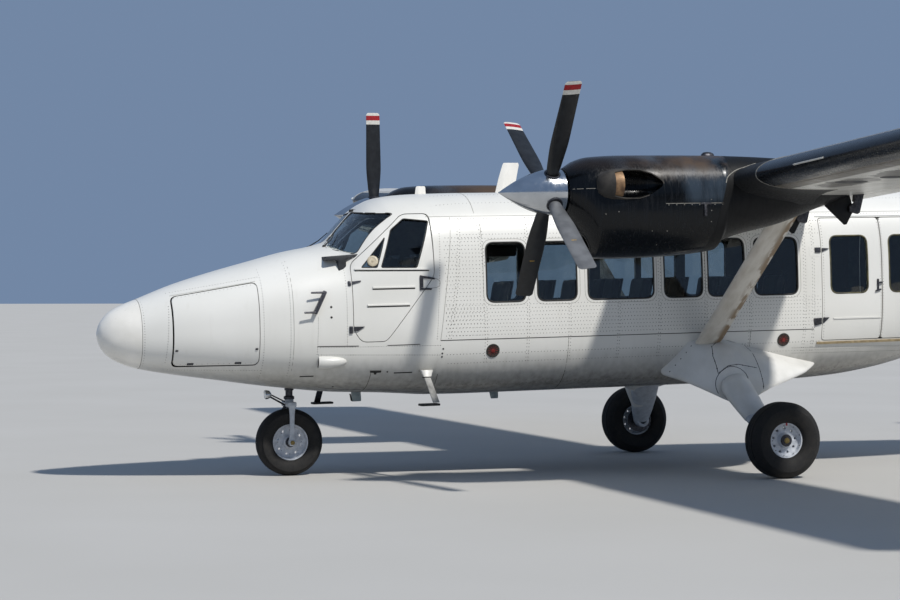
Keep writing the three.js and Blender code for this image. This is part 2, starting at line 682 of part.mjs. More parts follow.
const upright = (station, span, thick) => at(station, thick, span);

const FIN_ROWS = [[12000, 2370, 3790], [14000, 5740, 1470]];
const DORSAL = [[10900, 2860], [12300, 2860], [12900, 3900], [12440, 3260]];

// Trailing part and rounded nose of a control surface, and the room that they need
function controlCut(surface, behind, grown, start, end, radii) {
  const noseRod = rod(start, end, radii[0], radii[1]);
  const axis = end.clone().sub(start).normalize();
  const roomStart = start.clone().addScaledVector(axis, -SURFACE_GAP);
  const roomEnd = end.clone().addScaledVector(axis, SURFACE_GAP);
  const room = rod(roomStart, roomEnd, radii[0] + SURFACE_GAP, radii[1] + SURFACE_GAP);
  return {
    moving: surface.intersect(behind).add(noseRod),
    fixed: surface.subtract(grown).subtract(room),
  };
}

// Hollows inside the tail, as side outlines
const FIN_HOLLOW = [[12110, 2300], [14590, 2300], [14745, 5690], [14075, 5690]];
const RUDDER_HOLLOW = [[14785, 2450], [15330, 2450], [15190, 5660], [14870, 5660]];
const TAILPLANE_HOLLOW = [
  [13400, -28], [13500, -54], [13800, -74], [14205, -52], [14205, 52], [13800, 74], [13500, 54], [13400, 28],
].map(([station, z]) => [station, TAILPLANE_Z + z]);
const ELEVATOR_HOLLOW = [[14320, -46], [14540, -28], [14540, 28], [14320, 46]]
  .map(([station, z]) => [station, TAILPLANE_Z + z]);
const TAIL_HEIGHTS = [TAILPLANE_Z - 400, TAILPLANE_Z + 400];
const FAR = 17000;

function finAndRudder() {
  const surface = tailSurface(FIN_ROWS, upright);
  const thinner = solidOf(geometryOf(surface).scale(1, FIN_CORE, 1));
  const [lowStation, lowZ] = RUDDER_HINGE.low;
  const [highStation, highZ] = RUDDER_HINGE.high;
  const foot = lowZ + SURFACE_GAP;
  const behind = prism('side', [[lowStation, foot], [FAR, foot], [FAR, highZ], [highStation, highZ]], -500, 500);
  const grown = prism('side', [
    [lowStation - 2, lowZ - 20], [FAR, lowZ - 20], [FAR, 6200], [highStation + 10, 6200],
  ], -500, 500);
  const start = at(lowStation, 0, lowZ + 5);
  const end = at(highStation, 0, highZ);
  const cut = controlCut(surface, behind, grown, start, end, RUDDER_NOSE);
  const body = hull(FUSELAGE, AFT_BAY_END, 14961, -TOUCH);
  const dorsal = prism('side', DORSAL, -28, 28);
  const finCore = thinner.intersect(prism('side', FIN_HOLLOW, -500, 500));
  part('fin', cutAll(cut.fixed.add(dorsal), [body, tailplaneSolid(TOUCH), finCore]), 'white');

  const rudderCore = thinner.intersect(prism('side', RUDDER_HOLLOW, -500, 500));
  const rudderSlot = box([14600, 14860], [-30, 30], [4000, 4200]);
  part('rudder', cutAll(cut.moving, [rudderCore, rudderSlot]), 'white');

  const front = lowStation - RUDDER_NOSE[0] - SURFACE_GAP - 2;
  const room = box([front, FAR], [-500, 500], [lowZ - SURFACE_GAP, 4000]);
  const up = end.clone().sub(start).normalize();
  const pin = rod(start.clone().addScaledVector(up, -45), start.clone().addScaledVector(up, -PIN_GAP), 20);
  const inside = hull(FUSELAGE, AFT_BAY_END - 5, 14100, TAIL_WALL);
  const shell = hull(FUSELAGE, AFT_BAY_END + TOUCH, 14960).subtract(room).add(pin);
  part('tail_cone', shell.subtract(inside), 'white');
}

function tailplaneAndElevators() {
  const plain = tailplaneSolid(0);
  const tip = TAILPLANE_HALF_SPAN;
  let fixed = plain;
  for (const side of [1, -1]) {
    const across = (inner, outer) => (side > 0 ? [inner, outer] : [-outer, -inner]);
    const rear = box([ELEVATOR_HINGE, FAR], across(ELEVATOR_ROOT, 4000), TAIL_HEIGHTS);
    const room = box([ELEVATOR_HINGE - 2, FAR], across(ELEVATOR_ROOT - SURFACE_GAP, 4000), TAIL_HEIGHTS);
    const onHinge = (y) => at(ELEVATOR_HINGE, side * y, TAILPLANE_Z);
    const pieces = controlCut(plain, rear, room, onHinge(ELEVATOR_ROOT), onHinge(tip), ELEVATOR_NOSE);
    const core = prism('side', ELEVATOR_HOLLOW, ...across(ELEVATOR_ROOT + 30, tip - 30));
    const slot = box([14200, 14340], across(1500, 1700), [TAILPLANE_Z - 15, TAILPLANE_Z + 15]);
    const pin = rod(onHinge(100), onHinge(ELEVATOR_ROOT - PIN_GAP), 18);
    fixed = fixed.intersect(pieces.fixed).add(pin);
    part(`elevator_${side > 0 ? 'left' : 'right'}`, cutAll(pieces.moving, [core, slot]), 'white');
  }
  const root = [-ELEVATOR_ROOT, ELEVATOR_ROOT];
  const rudderSweep = box([14560, FAR], root, TAIL_HEIGHTS);
  const core = prism('side', TAILPLANE_HOLLOW, -tip + 40, tip - 40);
  const hole = box([13700, 13850], [-60, 60], [TAILPLANE_Z, TAILPLANE_Z + 170]);
  part('tailplane', cutAll(fixed, [rudderSweep, core, hole]), 'white');
}

function tailplaneSolid(margin) {
  const edge = TAILPLANE_LE - margin;
  const chord = TAILPLANE_CHORD + 2 * margin;
  const swell = 1 + 2 * margin / (0.12 * TAILPLANE_CHORD);
  const reach = TAILPLANE_HALF_SPAN + margin;
  const rings = [-reach, reach].map((span) => TAIL_SECTION.map(
    ([x, h]) => at(edge + x * chord, span, TAILPLANE_Z + h * swell * chord)));
  return solidOf(loftGeometry(rings));
}

// Strut: streamlined bar from the gear fairing to the wing
const STRUT = { station: 6092, low: [880, 1308], high: [2985, 2790], chord: 278, thickness: 64 };

function strutSolid(margin) {
  const [low, high] = [STRUT.low, STRUT.high].map(([y, z]) => at(STRUT.station, y, z));
  const axis = high.clone().sub(low).normalize();
  const ends = [low.addScaledVector(axis, -margin), high.addScaledVector(axis, margin)];
  const rings = ends.map((end) => Array.from({ length: 16 }, (_, i) => {
    const angle = i / 16 * 2 * Math.PI;
    const along = (STRUT.chord / 2 + margin) * Math.cos(angle);
    const across = (STRUT.thickness / 2 + margin) * Math.sin(angle);
    return end.clone().add(new THREE.Vector3(-along, -across * axis.z, across * axis.y));
  }));
  return solidOf(loftGeometry(rings));
}

// Gear fairing: columns are root station, root z, outer station, outer z
const FAIRING = [
  [5620, 1010, 6040, 790],
  [5880, 1400, 6090, 1020],
  [6300, 1400, 6260, 1050],
  [6800, 1240, 6440, 970],
  [7450, 1060, 6560, 860],
  [6900, 900, 6500, 780],
  [6150, 880, 6200, 722],
];
const FAIRING_Y = [700, 1215];

function fairingSolid() {
  const root = FAIRING.map(([station, z]) => at(station, FAIRING_Y[0], z));
  const shoulder = FAIRING.map(([station, z, outer, outerZ]) => at(
    station * 0.72 + outer * 0.28, 985, z * 0.72 + outerZ * 0.28));
  const outer = FAIRING.map((row) => at(row[2], FAIRING_Y[1], row[3]));
  return solidOf(loftGeometry([root, shoulder, outer]));
}

// Main leg in the ground frame: sloping faired leg and axle
const MAIN_AXLE = new THREE.Vector3(0, TRACK / 2, MAIN_WHEEL.radius);
const LEG_TOP = new THREE.Vector3(205, 1010, 985);
const LEG_FOOT = new THREE.Vector3(0, 1655, MAIN_WHEEL.radius);
const KNUCKLE = [1590, 1690];
// Columns are share of the way down, half width and half thickness
const LEG = [[0, 165, 84], [0.35, 160, 80], [0.8, 118, 66], [1, 86, 58]];

function legSolid(margin) {
  const slope = LEG_FOOT.clone().sub(LEG_TOP).normalize();
  const across = new THREE.Vector3(1, 0, 0).addScaledVector(slope, -slope.x).normalize();
  const up = new THREE.Vector3().crossVectors(slope, across);
  const onAxle = (y) => new THREE.Vector3(0, y, MAIN_WHEEL.radius);
  const rings = LEG.map(([share, wide, thick]) => Array.from({ length: 12 }, (_, i) => {
    const turn = (i + 0.5) / 12 * 2 * Math.PI;
    return LEG_TOP.clone().lerp(LEG_FOOT, share).addScaledVector(slope, share > 0 ? 0 : -margin)
      .addScaledVector(across, (wide + margin) * Math.cos(turn))
      .addScaledVector(up, (thick + margin) * Math.sin(turn));
  }));
  const tube = solidOf(loftGeometry(rings));
  const axle = rod(onAxle(KNUCKLE[0]), onAxle(TRACK / 2 + 95), MAIN_AXLE_RADIUS + margin);
  const knuckle = rod(onAxle(KNUCKLE[0]), onAxle(KNUCKLE[1]), 74 + margin);
  return joinAll([tube, axle, knuckle]);
}

// A solid of the ground frame as it lies in the level airframe, or the other way
function intoAirframe(solid, backwards = false) {
  const geometry = geometryOf(solid);
  geometry.rotateY(backwards ? NOSE_DOWN : -NOSE_DOWN);
  return solidOf(geometry);
}

// Tyre and wheel round an axle along Y, centred at a place
function ringBody(profile, centre, segments = WHEEL_SEGMENTS) {
  const points = profile.map(([radius, width]) => new THREE.Vector2(radius, width));
  const geometry = new THREE.LatheGeometry([...points, points[0]], segments);
  geometry.translate(...centre.toArray());
  return solidOf(geometry);
}

function tyreProfile({ radius, width, rim }) {
  const half = width / 2;
  const inside = rim + TOUCH;
  return [
    [inside, -half * 0.62], [(inside + radius) / 2, -half], [radius - 30, -half * 0.8], [radius, -half * 0.35],
    [radius, half * 0.35], [radius - 30, half * 0.8], [(inside + radius) / 2, half], [inside, half * 0.62],
  ];
}

function rimProfile({ width, rim }, bore) {
  const half = width / 2;
  return [
    [bore, -half * 0.5], [rim - 25, -half * 0.2], [rim, -half * 0.62],
    [rim, half * 0.62], [rim - 25, half * 0.3], [bore, half * 0.5],
  ];
}

function wheels() {
  const bore = (radius) => (radius + PIN_GAP) / Math.cos(Math.PI / WHEEL_SEGMENTS);
  pair('main_tyre', ringBody(tyreProfile(MAIN_WHEEL), MAIN_AXLE), 'tyre', ground);
  pair('main_wheel', ringBody(rimProfile(MAIN_WHEEL, bore(MAIN_AXLE_RADIUS)), MAIN_AXLE), 'grey', ground);
  const centre = new THREE.Vector3(WHEELBASE, 0, NOSE_WHEEL.radius);
  part('nose_tyre', ringBody(tyreProfile(NOSE_WHEEL), centre), 'tyre', ground);
  part('nose_wheel', ringBody(rimProfile(NOSE_WHEEL, bore(NOSE_AXLE_RADIUS)), centre), 'grey', ground);
}

// Nose leg: strut out of the belly, and the steered fork below it
const STRUT_FOOT = 762;
const BRIDGE_Z = 712;
const FORK_SIDE = 128;

function noseGear() {
  const onLeg = (y, z) => new THREE.Vector3(WHEELBASE, y, z);
  const belly = hull(FUSELAGE, RADOME_END, NOSE_END + 800, -TOUCH);
  const cylinder = rod(onLeg(0, STRUT_FOOT), onLeg(0, 1010), 52);
  const collar = rod(onLeg(0, STRUT_FOOT), onLeg(0, STRUT_FOOT + 34), 66);
  part('nose_strut', joinAll([cylinder, collar]).subtract(intoAirframe(belly, true)), 'grey', ground);

  const axleZ = NOSE_WHEEL.radius;
  const ahead = new THREE.Vector3(1, 0, 0);
  const crown = rod(onLeg(0, BRIDGE_Z - 26), onLeg(0, STRUT_FOOT - PIN_GAP), 46);
  const bridge = bar(onLeg(-FORK_SIDE - 18, BRIDGE_Z), onLeg(FORK_SIDE + 18, BRIDGE_Z), 90, 52, ahead);
  const legs = [-FORK_SIDE, FORK_SIDE].map(
    (y) => bar(onLeg(y, BRIDGE_Z + 18), onLeg(y, axleZ - 45), 70, 30, ahead));
  const axle = rod(onLeg(-FORK_SIDE - 24, axleZ), onLeg(FORK_SIDE + 24, axleZ), NOSE_AXLE_RADIUS);
  part('nose_fork', joinAll([crown, bridge, ...legs, axle]), 'grey', ground);
}

// Wings with flaps, ailerons, nacelles and struts
const FLAP_ARM = [
  [6681, -20], [6700, -30], [6770, -48], [6790, -36], [6850, 160], [6745, 175], [6735, 60], [6681, 26],
];
const FLAP_BRACKET = [
  [6640, -146], [6660, -142], [6731, -24], [6723, 60], [6690, 175], [6480, 175], [6444, 36],
];
const ARM_THICKNESS = 26;

function flapArm(y) {
  const drop = wingZ(FLAP_PIVOT.station, y) - FLAP_PIVOT.drop;
  const plates = [[FLAP_ARM, PIN_GAP], [FLAP_BRACKET, -ARM_THICKNESS]];
  const [arm, bracket] = plates.map(([outline, inner]) => {
    const plate = prism('side', outline, inner, inner + ARM_THICKNESS);
    return solidOf(geometryOf(plate).rotateX(DIHEDRAL).translate(0, y, drop));
  });
  return { arm, bracket };
}

function wings() {
  const body = hull(FUSELAGE, COCKPIT_END, CABIN_END, -TOUCH);
  const plain = solidOf(loftGeometry([wingRing(WING_ROOT), wingRing(HALF_SPAN - 130),
    wingRing(HALF_SPAN, 0, 0.82)]));
  const flapBox = box([FLAP_STATION, 9000], FLAP_SPAN, [2000, 4000]);
  const flapRoom = box([FLAP_STATION - 10, 9000], [FLAP_SPAN[0] - 10, FLAP_SPAN[1] + 8], [2000, 4000]);
  let flap = plain.intersect(flapBox);
  let wing = plain.subtract(flapRoom);

  const [inner, outer] = AILERON_SPAN;
  const hingeLine = [inner, outer].map((y) => at(AILERON_HINGE, y, wingZ(AILERON_HINGE, y) + 18));
  const rear = box([AILERON_HINGE, 9000], [inner, outer - 2], [2000, 4000]);
  const room = box([AILERON_HINGE - 6, 9000], [inner - 8, outer + 8], [2000, 4000]);
  const aileron = controlCut(plain, rear, room, hingeLine[0], hingeLine[1], [76, 76]);
  wing = wing.intersect(aileron.fixed);
  const span = hingeLine[1].clone().sub(hingeLine[0]).normalize();
  const pinStart = hingeLine[1].clone().addScaledVector(span, PIN_GAP);
  wing = wing.add(rod(pinStart, pinStart.clone().addScaledVector(span, 40), 16));

  for (const y of FLAP_ARMS) {
    const { arm, bracket } = flapArm(y);
    flap = flap.add(arm);
    wing = wing.add(bracket);
  }
  // One more flap bracket stands under the end of each nacelle
  const behindEngine = flapArm(ENGINE_Y);
  flap = flap.add(behindEngine.arm);
  const strut = strutSolid(0);
  const strutRoom = strutSolid(TOUCH);
  pair('wing', cutAll(wing, [body, strutRoom]), 'white');
  pair('flap', flap, 'white');
  pair('aileron', aileron.moving, 'white');
  pair('wing_strut', strut, 'white');

  const fairing = cutAll(fairingSolid(), [body, strutRoom, intoAirframe(legSolid(TOUCH))]);
  pair('gear_fairing', fairing, 'white');
  pair('main_leg', legSolid(0).subtract(intoAirframe(body, true)), 'grey', ground);

  const wingRoom = wingSolid(1500, 4500, TOUCH);
  const cowl = hull(NACELLE, NACELLE[0][0], NACELLE.at(-1)[0], 0, ENGINE_Y, NACELLE_POINTS);
  const onShaft = (station) => at(station, ENGINE_Y, SHAFT_Z);
  const engine = rod(onShaft(ENGINE.front), onShaft(ENGINE.back), ENGINE.radius);
  const pocket = rod(onShaft(ENGINE.front - TOUCH), onShaft(ENGINE.back + TOUCH), ENGINE.radius + TOUCH);
  const acrossEngine = (reach) => [ENGINE_Y - reach, ENGINE_Y + reach];
  const intake = box([3700, RISER.back], acrossEngine(INTAKE.reach), [INTAKE.low, INTAKE.high]);
  const riser = box([RISER.front, RISER.back], acrossEngine(RISER.reach), [INTAKE.high - 20, RISER.high]);
  const stubs = [-1, 1].map((side) => exhaust(side));
  const shaft = rod(onShaft(PROP_STATION + SPINNER_BASE + PIN_GAP), onShaft(3830), 70);
  let nacelle = joinAll([cowl, shaft, behindEngine.bracket, ...stubs.map((stub) => stub.outer)]);
  nacelle = cutAll(nacelle, [pocket, intake, riser, ...stubs.map((stub) => stub.mouth), wingRoom, strutRoom]);
  const frontHalf = box([NACELLE[0][0] - 500, COWL_JOINT - TOUCH], [ENGINE_Y - 700, ENGINE_Y + 700], [1500, 3500]);
  const backHalf = box([COWL_JOINT, NACELLE.at(-1)[0] + 500], [ENGINE_Y - 700, ENGINE_Y + 700], [1500, 3500]);
  pair('nacelle', nacelle.intersect(frontHalf), 'black');
  pair('nacelle_tail', nacelle.intersect(backHalf), 'black');
  pair('engine', engine, 'dark');
}

// Exhaust stub on a nacelle's side, a swelling that opens aft: columns are station, reach from the shaft, half
// width and half height
const EXHAUST = [[4010, 330, 60, 50], [4200, 385, 110, 118], [4420, 400, 128, 132], [4610, 410, 112, 120]];
const EXHAUST_Z = 2842;
const EXHAUST_WALL = 14;

function exhaust(side) {
  const skins = [0, EXHAUST_WALL].map((inner) => EXHAUST.map(([station, reach, wide, tall]) => Array.from(
    { length: 8 }, (_, i) => {
      const angle = i / 8 * 2 * Math.PI;
      const out = reach + (wide - inner) * Math.cos(angle);
      return at(station + inner, ENGINE_Y + side * out, EXHAUST_Z + (tall - inner) * Math.sin(angle));
    })));
  return {
    outer: solidOf(loftGeometry(skins[0])),
    mouth: solidOf(loftGeometry(skins[1].slice(2))),
  };
}

// Propeller: four feathered blades on a hub, and the spinner over it
const BLADE = [
  [120, 112, 96, 90], [300, 140, 58, 88], [560, 175, 32, 84], [900, 165, 18, 77], [PROP_RADIUS, 120, 9, 72],
];

function bladeSolid(angle) {
  const rings = BLADE.map(([radius, chord, thickness, pitch]) => Array.from({ length: 8 }, (_, i) => {
    const turn = i / 8 * 2 * Math.PI;
    const along = chord / 2 * Math.cos(turn);
    const across = thickness / 2 * Math.sin(turn);
    const feather = THREE.MathUtils.degToRad(pitch);
    const x = along * Math.sin(feather) - across * Math.cos(feather);
    const side = along * Math.cos(feather) + across * Math.sin(feather);
    return new THREE.Vector3(x, side, radius);
  }));
  return solidOf(loftGeometry(rings).rotateX(-angle));
}

function propeller(label, side, firstAngle) {
  const centre = at(PROP_STATION, side * ENGINE_Y, SHAFT_Z);
  const place = (solid) => solidOf(geometryOf(solid).translate(...centre.toArray()));
  const angles = [0, 90, 180, 270].map((step) => THREE.MathUtils.degToRad(firstAngle + step));
  const [hub, hubRoom] = [0, TOUCH].map((margin) => {
    const end = new THREE.Vector3(HUB.reach + margin, 0, 0);
    return rod(end.clone().negate(), end, HUB.radius + margin);
  });
  const blades = joinAll([hub, ...angles.map(bladeSolid)]);
  const shanks = angles.map((angle) => {
    const out = new THREE.Vector3(0, Math.sin(angle), Math.cos(angle));
    return rod(out.clone().multiplyScalar(120), out.clone().multiplyScalar(400), SHANK_RADIUS, SHANK_RADIUS, 8);
  });
  const profile = [
    [0, -SPINNER_BASE], [SPINNER_RADIUS, -SPINNER_BASE], [SPINNER_RADIUS, 0], [165, SPINNER_LENGTH * 0.36],
    [100, SPINNER_LENGTH * 0.68], [0, SPINNER_LENGTH],
  ].map(([radius, along]) => new THREE.Vector2(radius, along));
  const cone = solidOf(new THREE.LatheGeometry(profile, 18).rotateZ(-Math.PI / 2));
  part(`blades_${label}`, place(blades), 'dark');
  part(`spinner_${label}`, place(cutAll(cone, [hubRoom, ...shanks])), 'metal');
}

nose();
cockpit();
cabin();
tail();
finAndRudder();
tailplaneAndElevators();
wings();
propeller('left', 1, PORT_BLADE_ANGLE);
propeller('right', -1, STARBOARD_BLADE_ANGLE);
wheels();
noseGear();

export default group;
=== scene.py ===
import bisect
import functools
from math import atan2, copysign, cos, dist, exp, pi, radians, sin, sqrt, tan, tau

import bmesh
import bpy
from mathutils import Matrix, Vector
from mathutils.bvhtree import BVHTree


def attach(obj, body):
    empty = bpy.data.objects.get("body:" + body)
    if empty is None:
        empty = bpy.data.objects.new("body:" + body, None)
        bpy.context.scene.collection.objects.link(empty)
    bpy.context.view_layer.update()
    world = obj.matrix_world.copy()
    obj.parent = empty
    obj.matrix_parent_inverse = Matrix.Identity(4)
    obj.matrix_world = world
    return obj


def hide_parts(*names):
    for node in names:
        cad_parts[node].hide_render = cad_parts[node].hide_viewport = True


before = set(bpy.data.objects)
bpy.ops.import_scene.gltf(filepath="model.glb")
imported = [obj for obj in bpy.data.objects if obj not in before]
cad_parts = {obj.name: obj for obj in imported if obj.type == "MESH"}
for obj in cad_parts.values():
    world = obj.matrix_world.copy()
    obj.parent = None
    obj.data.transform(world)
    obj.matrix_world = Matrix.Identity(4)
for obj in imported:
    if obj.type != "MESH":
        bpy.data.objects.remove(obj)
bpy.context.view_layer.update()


def new_object(name, data):
    """An object of a mesh, lamp or camera, in the scene"""
    made = bpy.data.objects.new(name, data)
    bpy.context.scene.collection.objects.link(made)
    return made


# Camera where the photograph was taken from
CAMERA_PLACE = Vector((11.083, 20.771, 1.808))
CAMERA_YAW = radians(18.1828)
CAMERA_PITCH = radians(-0.1476)
CAMERA_LENS = 85.28


def camera():
    data = bpy.data.cameras.new("camera")
    data.lens = CAMERA_LENS
    data.sensor_width = 36
    data.clip_end = 2000
    view = new_object("camera", data)
    level = cos(CAMERA_PITCH)
    look = Vector((-sin(CAMERA_YAW) * level, -cos(CAMERA_YAW) * level, sin(CAMERA_PITCH)))
    view.matrix_world = Matrix.Translation(CAMERA_PLACE) @ look.to_track_quat("-Z", "Y").to_matrix().to_4x4()
    bpy.context.scene.camera = view


camera()

# The level airframe, in millimetres: stations run aft from the nose tip, and it sits nose down on its gear
MAIN_STATION = 6420
NOSE_DOWN = radians(1.38)
MAIN_X = 1.424
GROUND = Matrix.Translation((MAIN_X, 0, 0)) @ Matrix.Scale(0.001, 4)
AIR = Matrix.Translation((MAIN_X, 0, 0)) @ Matrix.Rotation(NOSE_DOWN, 4, "Y") @ Matrix.Scale(0.001, 4)


def at(station, y, z):
    return Vector((MAIN_STATION - station, y, z))


def linear(code):
    """Linear colour of an sRGB hex code"""
    parts = [int(code[i:i + 2], 16) / 255 for i in (1, 3, 5)]
    return tuple(c / 12.92 if c <= 0.04045 else ((c + 0.055) / 1.055) ** 2.4 for c in parts) + (1.0,)


def feed(node, inputs):
    """A node's sockets, by name or number, linked or set, a colour by its sRGB hex code"""
    for socket, source in inputs.items():
        if isinstance(source, bpy.types.NodeSocket):
            node.id_data.links.new(source, node.inputs[socket])
        else:
            node.inputs[socket].default_value = linear(source) if isinstance(source, str) else source


def add(tree, kind, inputs=(), output=0, **settings):
    """One output of a new node with its settings, its sockets fed by name or in their order"""
    node = tree.nodes.new(f"ShaderNode{kind}")
    for key, value in settings.items():
        setattr(node, key, value)
    feed(node, inputs if isinstance(inputs, dict) else dict(enumerate(inputs)))
    return node.outputs[output]


# Settings of the nodes that mix two colours and that join two shares of a finish
COLOURS = {"output": 2, "data_type": "RGBA"}
TIMES = {"operation": "MULTIPLY", "use_clamp": True}
PLUS = {"operation": "ADD", "use_clamp": True}
# Millimetres in a unit of the patterns, so a noise's scale is this over its grain, and how rough the noises are
# Grit, threads and fine scratches are too fine to show in the render, so they are drawn as coarse as they need to show
UNIT = 1000
ROUGH = 0.55


def blank(name):
    """A new material, the function that adds its nodes, its shader and its place in the level airframe"""
    made = bpy.data.materials.new(name)
    made.use_nodes = True
    node = functools.partial(add, made.node_tree)
    seen = node("TexCoord", output="Object")
    place = node("Mapping", (seen, (MAIN_X, 0, 0), (0, NOSE_DOWN, 0)), vector_type="TEXTURE")
    return made, node, made.node_tree.nodes["Principled BSDF"], place


def plain_finish(name, colour, other, grain, rough=(0.4, 0.55), depth=0.05, metallic=0.0, coat=0.0, sheen=0.0):
    """A surface whose colour, gloss and relief vary with noises of this grain, its relief in millimetres"""
    made, node, shader, place = blank(name)
    blotch, fine = (node("TexNoise", (place, 0, UNIT / size, 3, ROUGH)) for size in (grain, grain / 7))
    share = node("MapRange", (blotch, 0.35, 0.68))
    feed(shader, {
        "Base Color": node("Mix", {0: share, 6: colour, 7: other}, **COLOURS),
        "Roughness": node("MapRange", (fine, 0.3, 0.7, *rough)),
        "Normal": node("Bump", {"Height": fine, "Distance": depth / UNIT}),
        "Metallic": metallic, "Coat Weight": coat, "Sheen Weight": sheen,
    })
    return made


def body_enamel():
    """White polyurethane enamel sprayed over riveted sheet: soft gloss, rain streaks, and dirt mixed with painted
    shade that darkens it towards the belly
    """
    made, node, shader, place = blank("white_enamel")
    clouds = node("TexNoise", (place, 0, UNIT / 900, 2, ROUGH))
    streaks = node("TexNoise", (node("Mapping", {0: place, 3: (1, 1, 0.06)}), 0, UNIT / 60, 4, ROUGH))
    specks = node("TexNoise", (place, 0, UNIT / 14, 2, ROUGH))
    waves = node("TexNoise", (place, 0, UNIT / 260, 1, ROUGH))
    tone = node("MapRange", (clouds, 0.35, 0.7))
    paint = node("Mix", {0: tone, 6: "#e2e1dc", 7: "#d9d8d2"}, **COLOURS)
    wash = node("MapRange", (streaks, 0.58, 0.85, 0.0, 0.2))
    washed = node("Mix", {0: wash, 6: paint, 7: "#bdb9ae"}, **COLOURS)
    # Darker towards the belly in streaks: dirt, and painted shade of the underside
    low = node("MapRange", (node("SeparateXYZ", (place,), "Z"), 1.32, 0.96))
    belly_shade_and_grime = node("Math", (low, node("MapRange", (streaks, 0.2, 0.8, 0.6, 1.0))), **TIMES)
    share = node("Math", (belly_shade_and_grime, 0.92), **TIMES)
    feed(shader, {
        "Base Color": node("Mix", {0: share, 6: washed, 7: "#37332c"}, **COLOURS),
        "Roughness": node("MapRange", (specks, 0.3, 0.75, 0.3, 0.48)),
        "Normal": node("Bump", {"Height": waves, "Distance": 1.1 / UNIT}),
        "Coat Weight": 0.15, "Coat Roughness": 0.2,
    })
    return made


def soot_enamel():
    """Blue-black gloss enamel of the engine cowls: mirror-like low down, dulled by brown soot along the top and aft,
    its upper sides smeared blue-grey with scuffs and a painted sky reflection, and painted near black behind the
    slanting joint as the wing's shadow
    """
    made, node, shader, place = blank("black_enamel")
    x, z = (node("SeparateXYZ", (place,), axis) for axis in "XZ")
    clouds = node("TexNoise", (place, 0, UNIT / 420, 4, ROUGH))
    scratches = node("TexNoise", (node("Mapping", {0: place, 3: (1, 1, 0.08)}), 0, UNIT / 16, 3, ROUGH))
    smears = node("TexNoise", (node("Mapping", {0: place, 3: (1, 1, 0.3)}), 0, UNIT / 240, 3, ROUGH))
    waves = node("TexNoise", (place, 0, UNIT / 180, 2, ROUGH))
    sooty = node("Math", (node("MapRange", (z, 2.86, 3.04)), node("MapRange", (x, 2.2, 1.5, 0.15, 1.0))), **TIMES)
    soot = node("Math", (node("MapRange", (clouds, 0.36, 0.56)), sooty), **TIMES)
    scratched = node("MapRange", (scratches, 0.45, 0.8, 0.0, 0.4))
    base = node("Mix", {0: scratched, 6: "#05070a", 7: "#15191f"}, **COLOURS)
    # Blue-grey smears on the upper sides aft of the intake: scuffs, their blue-grey a painted reflection of the sky
    scuffs_and_sky_sheen = node("Mix", {0: node("MapRange", (smears, 0.42, 0.66, 0.0, 0.5)), 6: base, 7: "#465361"}, **COLOURS)
    upper_sky_sheen = node("Math", (node("MapRange", (z, 2.64, 2.72)), node("MapRange", (x, 2.3, 1.9))), **TIMES)
    clean = node("Mix", {0: upper_sky_sheen, 6: base, 7: scuffs_and_sky_sheen}, **COLOURS)
    cowl = node("Mix", {0: soot, 6: clean, 7: "#4b3d31"}, **COLOURS)
    # Behind the slanting joint the cover is matt, and painted near black without soot or sheen: painted shade where
    # the wing's shadow falls
    aft = node("MapRange", (node("Math", (z, 0.298, x), operation="MULTIPLY_ADD"), 2.032, 2.022))
    dull = node("MapRange", (scratches, 0.4, 0.8, 0.16, 0.4))
    for share in (soot, aft):
        dull = node("Math", (dull, node("Math", (share, 0.3), **TIMES)), **PLUS)
    feed(shader, {
        "Base Color": node("Mix", {0: aft, 6: cowl, 7: "#060709"}, **COLOURS),
        "Roughness": dull,
        "Normal": node("Bump", {"Height": waves, "Distance": 0.9 / UNIT}),
        "Coat Weight": 0.08, "Coat Roughness": 0.12, "IOR": 1.32,
    })
    return made


# Dark ovals under the wing, by their place on both sides, chord and span in metres
DARK_OVALS = ((0.59, 4.31, 0.2, 0.46), (0.57, 5.15, 0.17, 0.38), (0.53, 6.55, 0.16, 0.38))


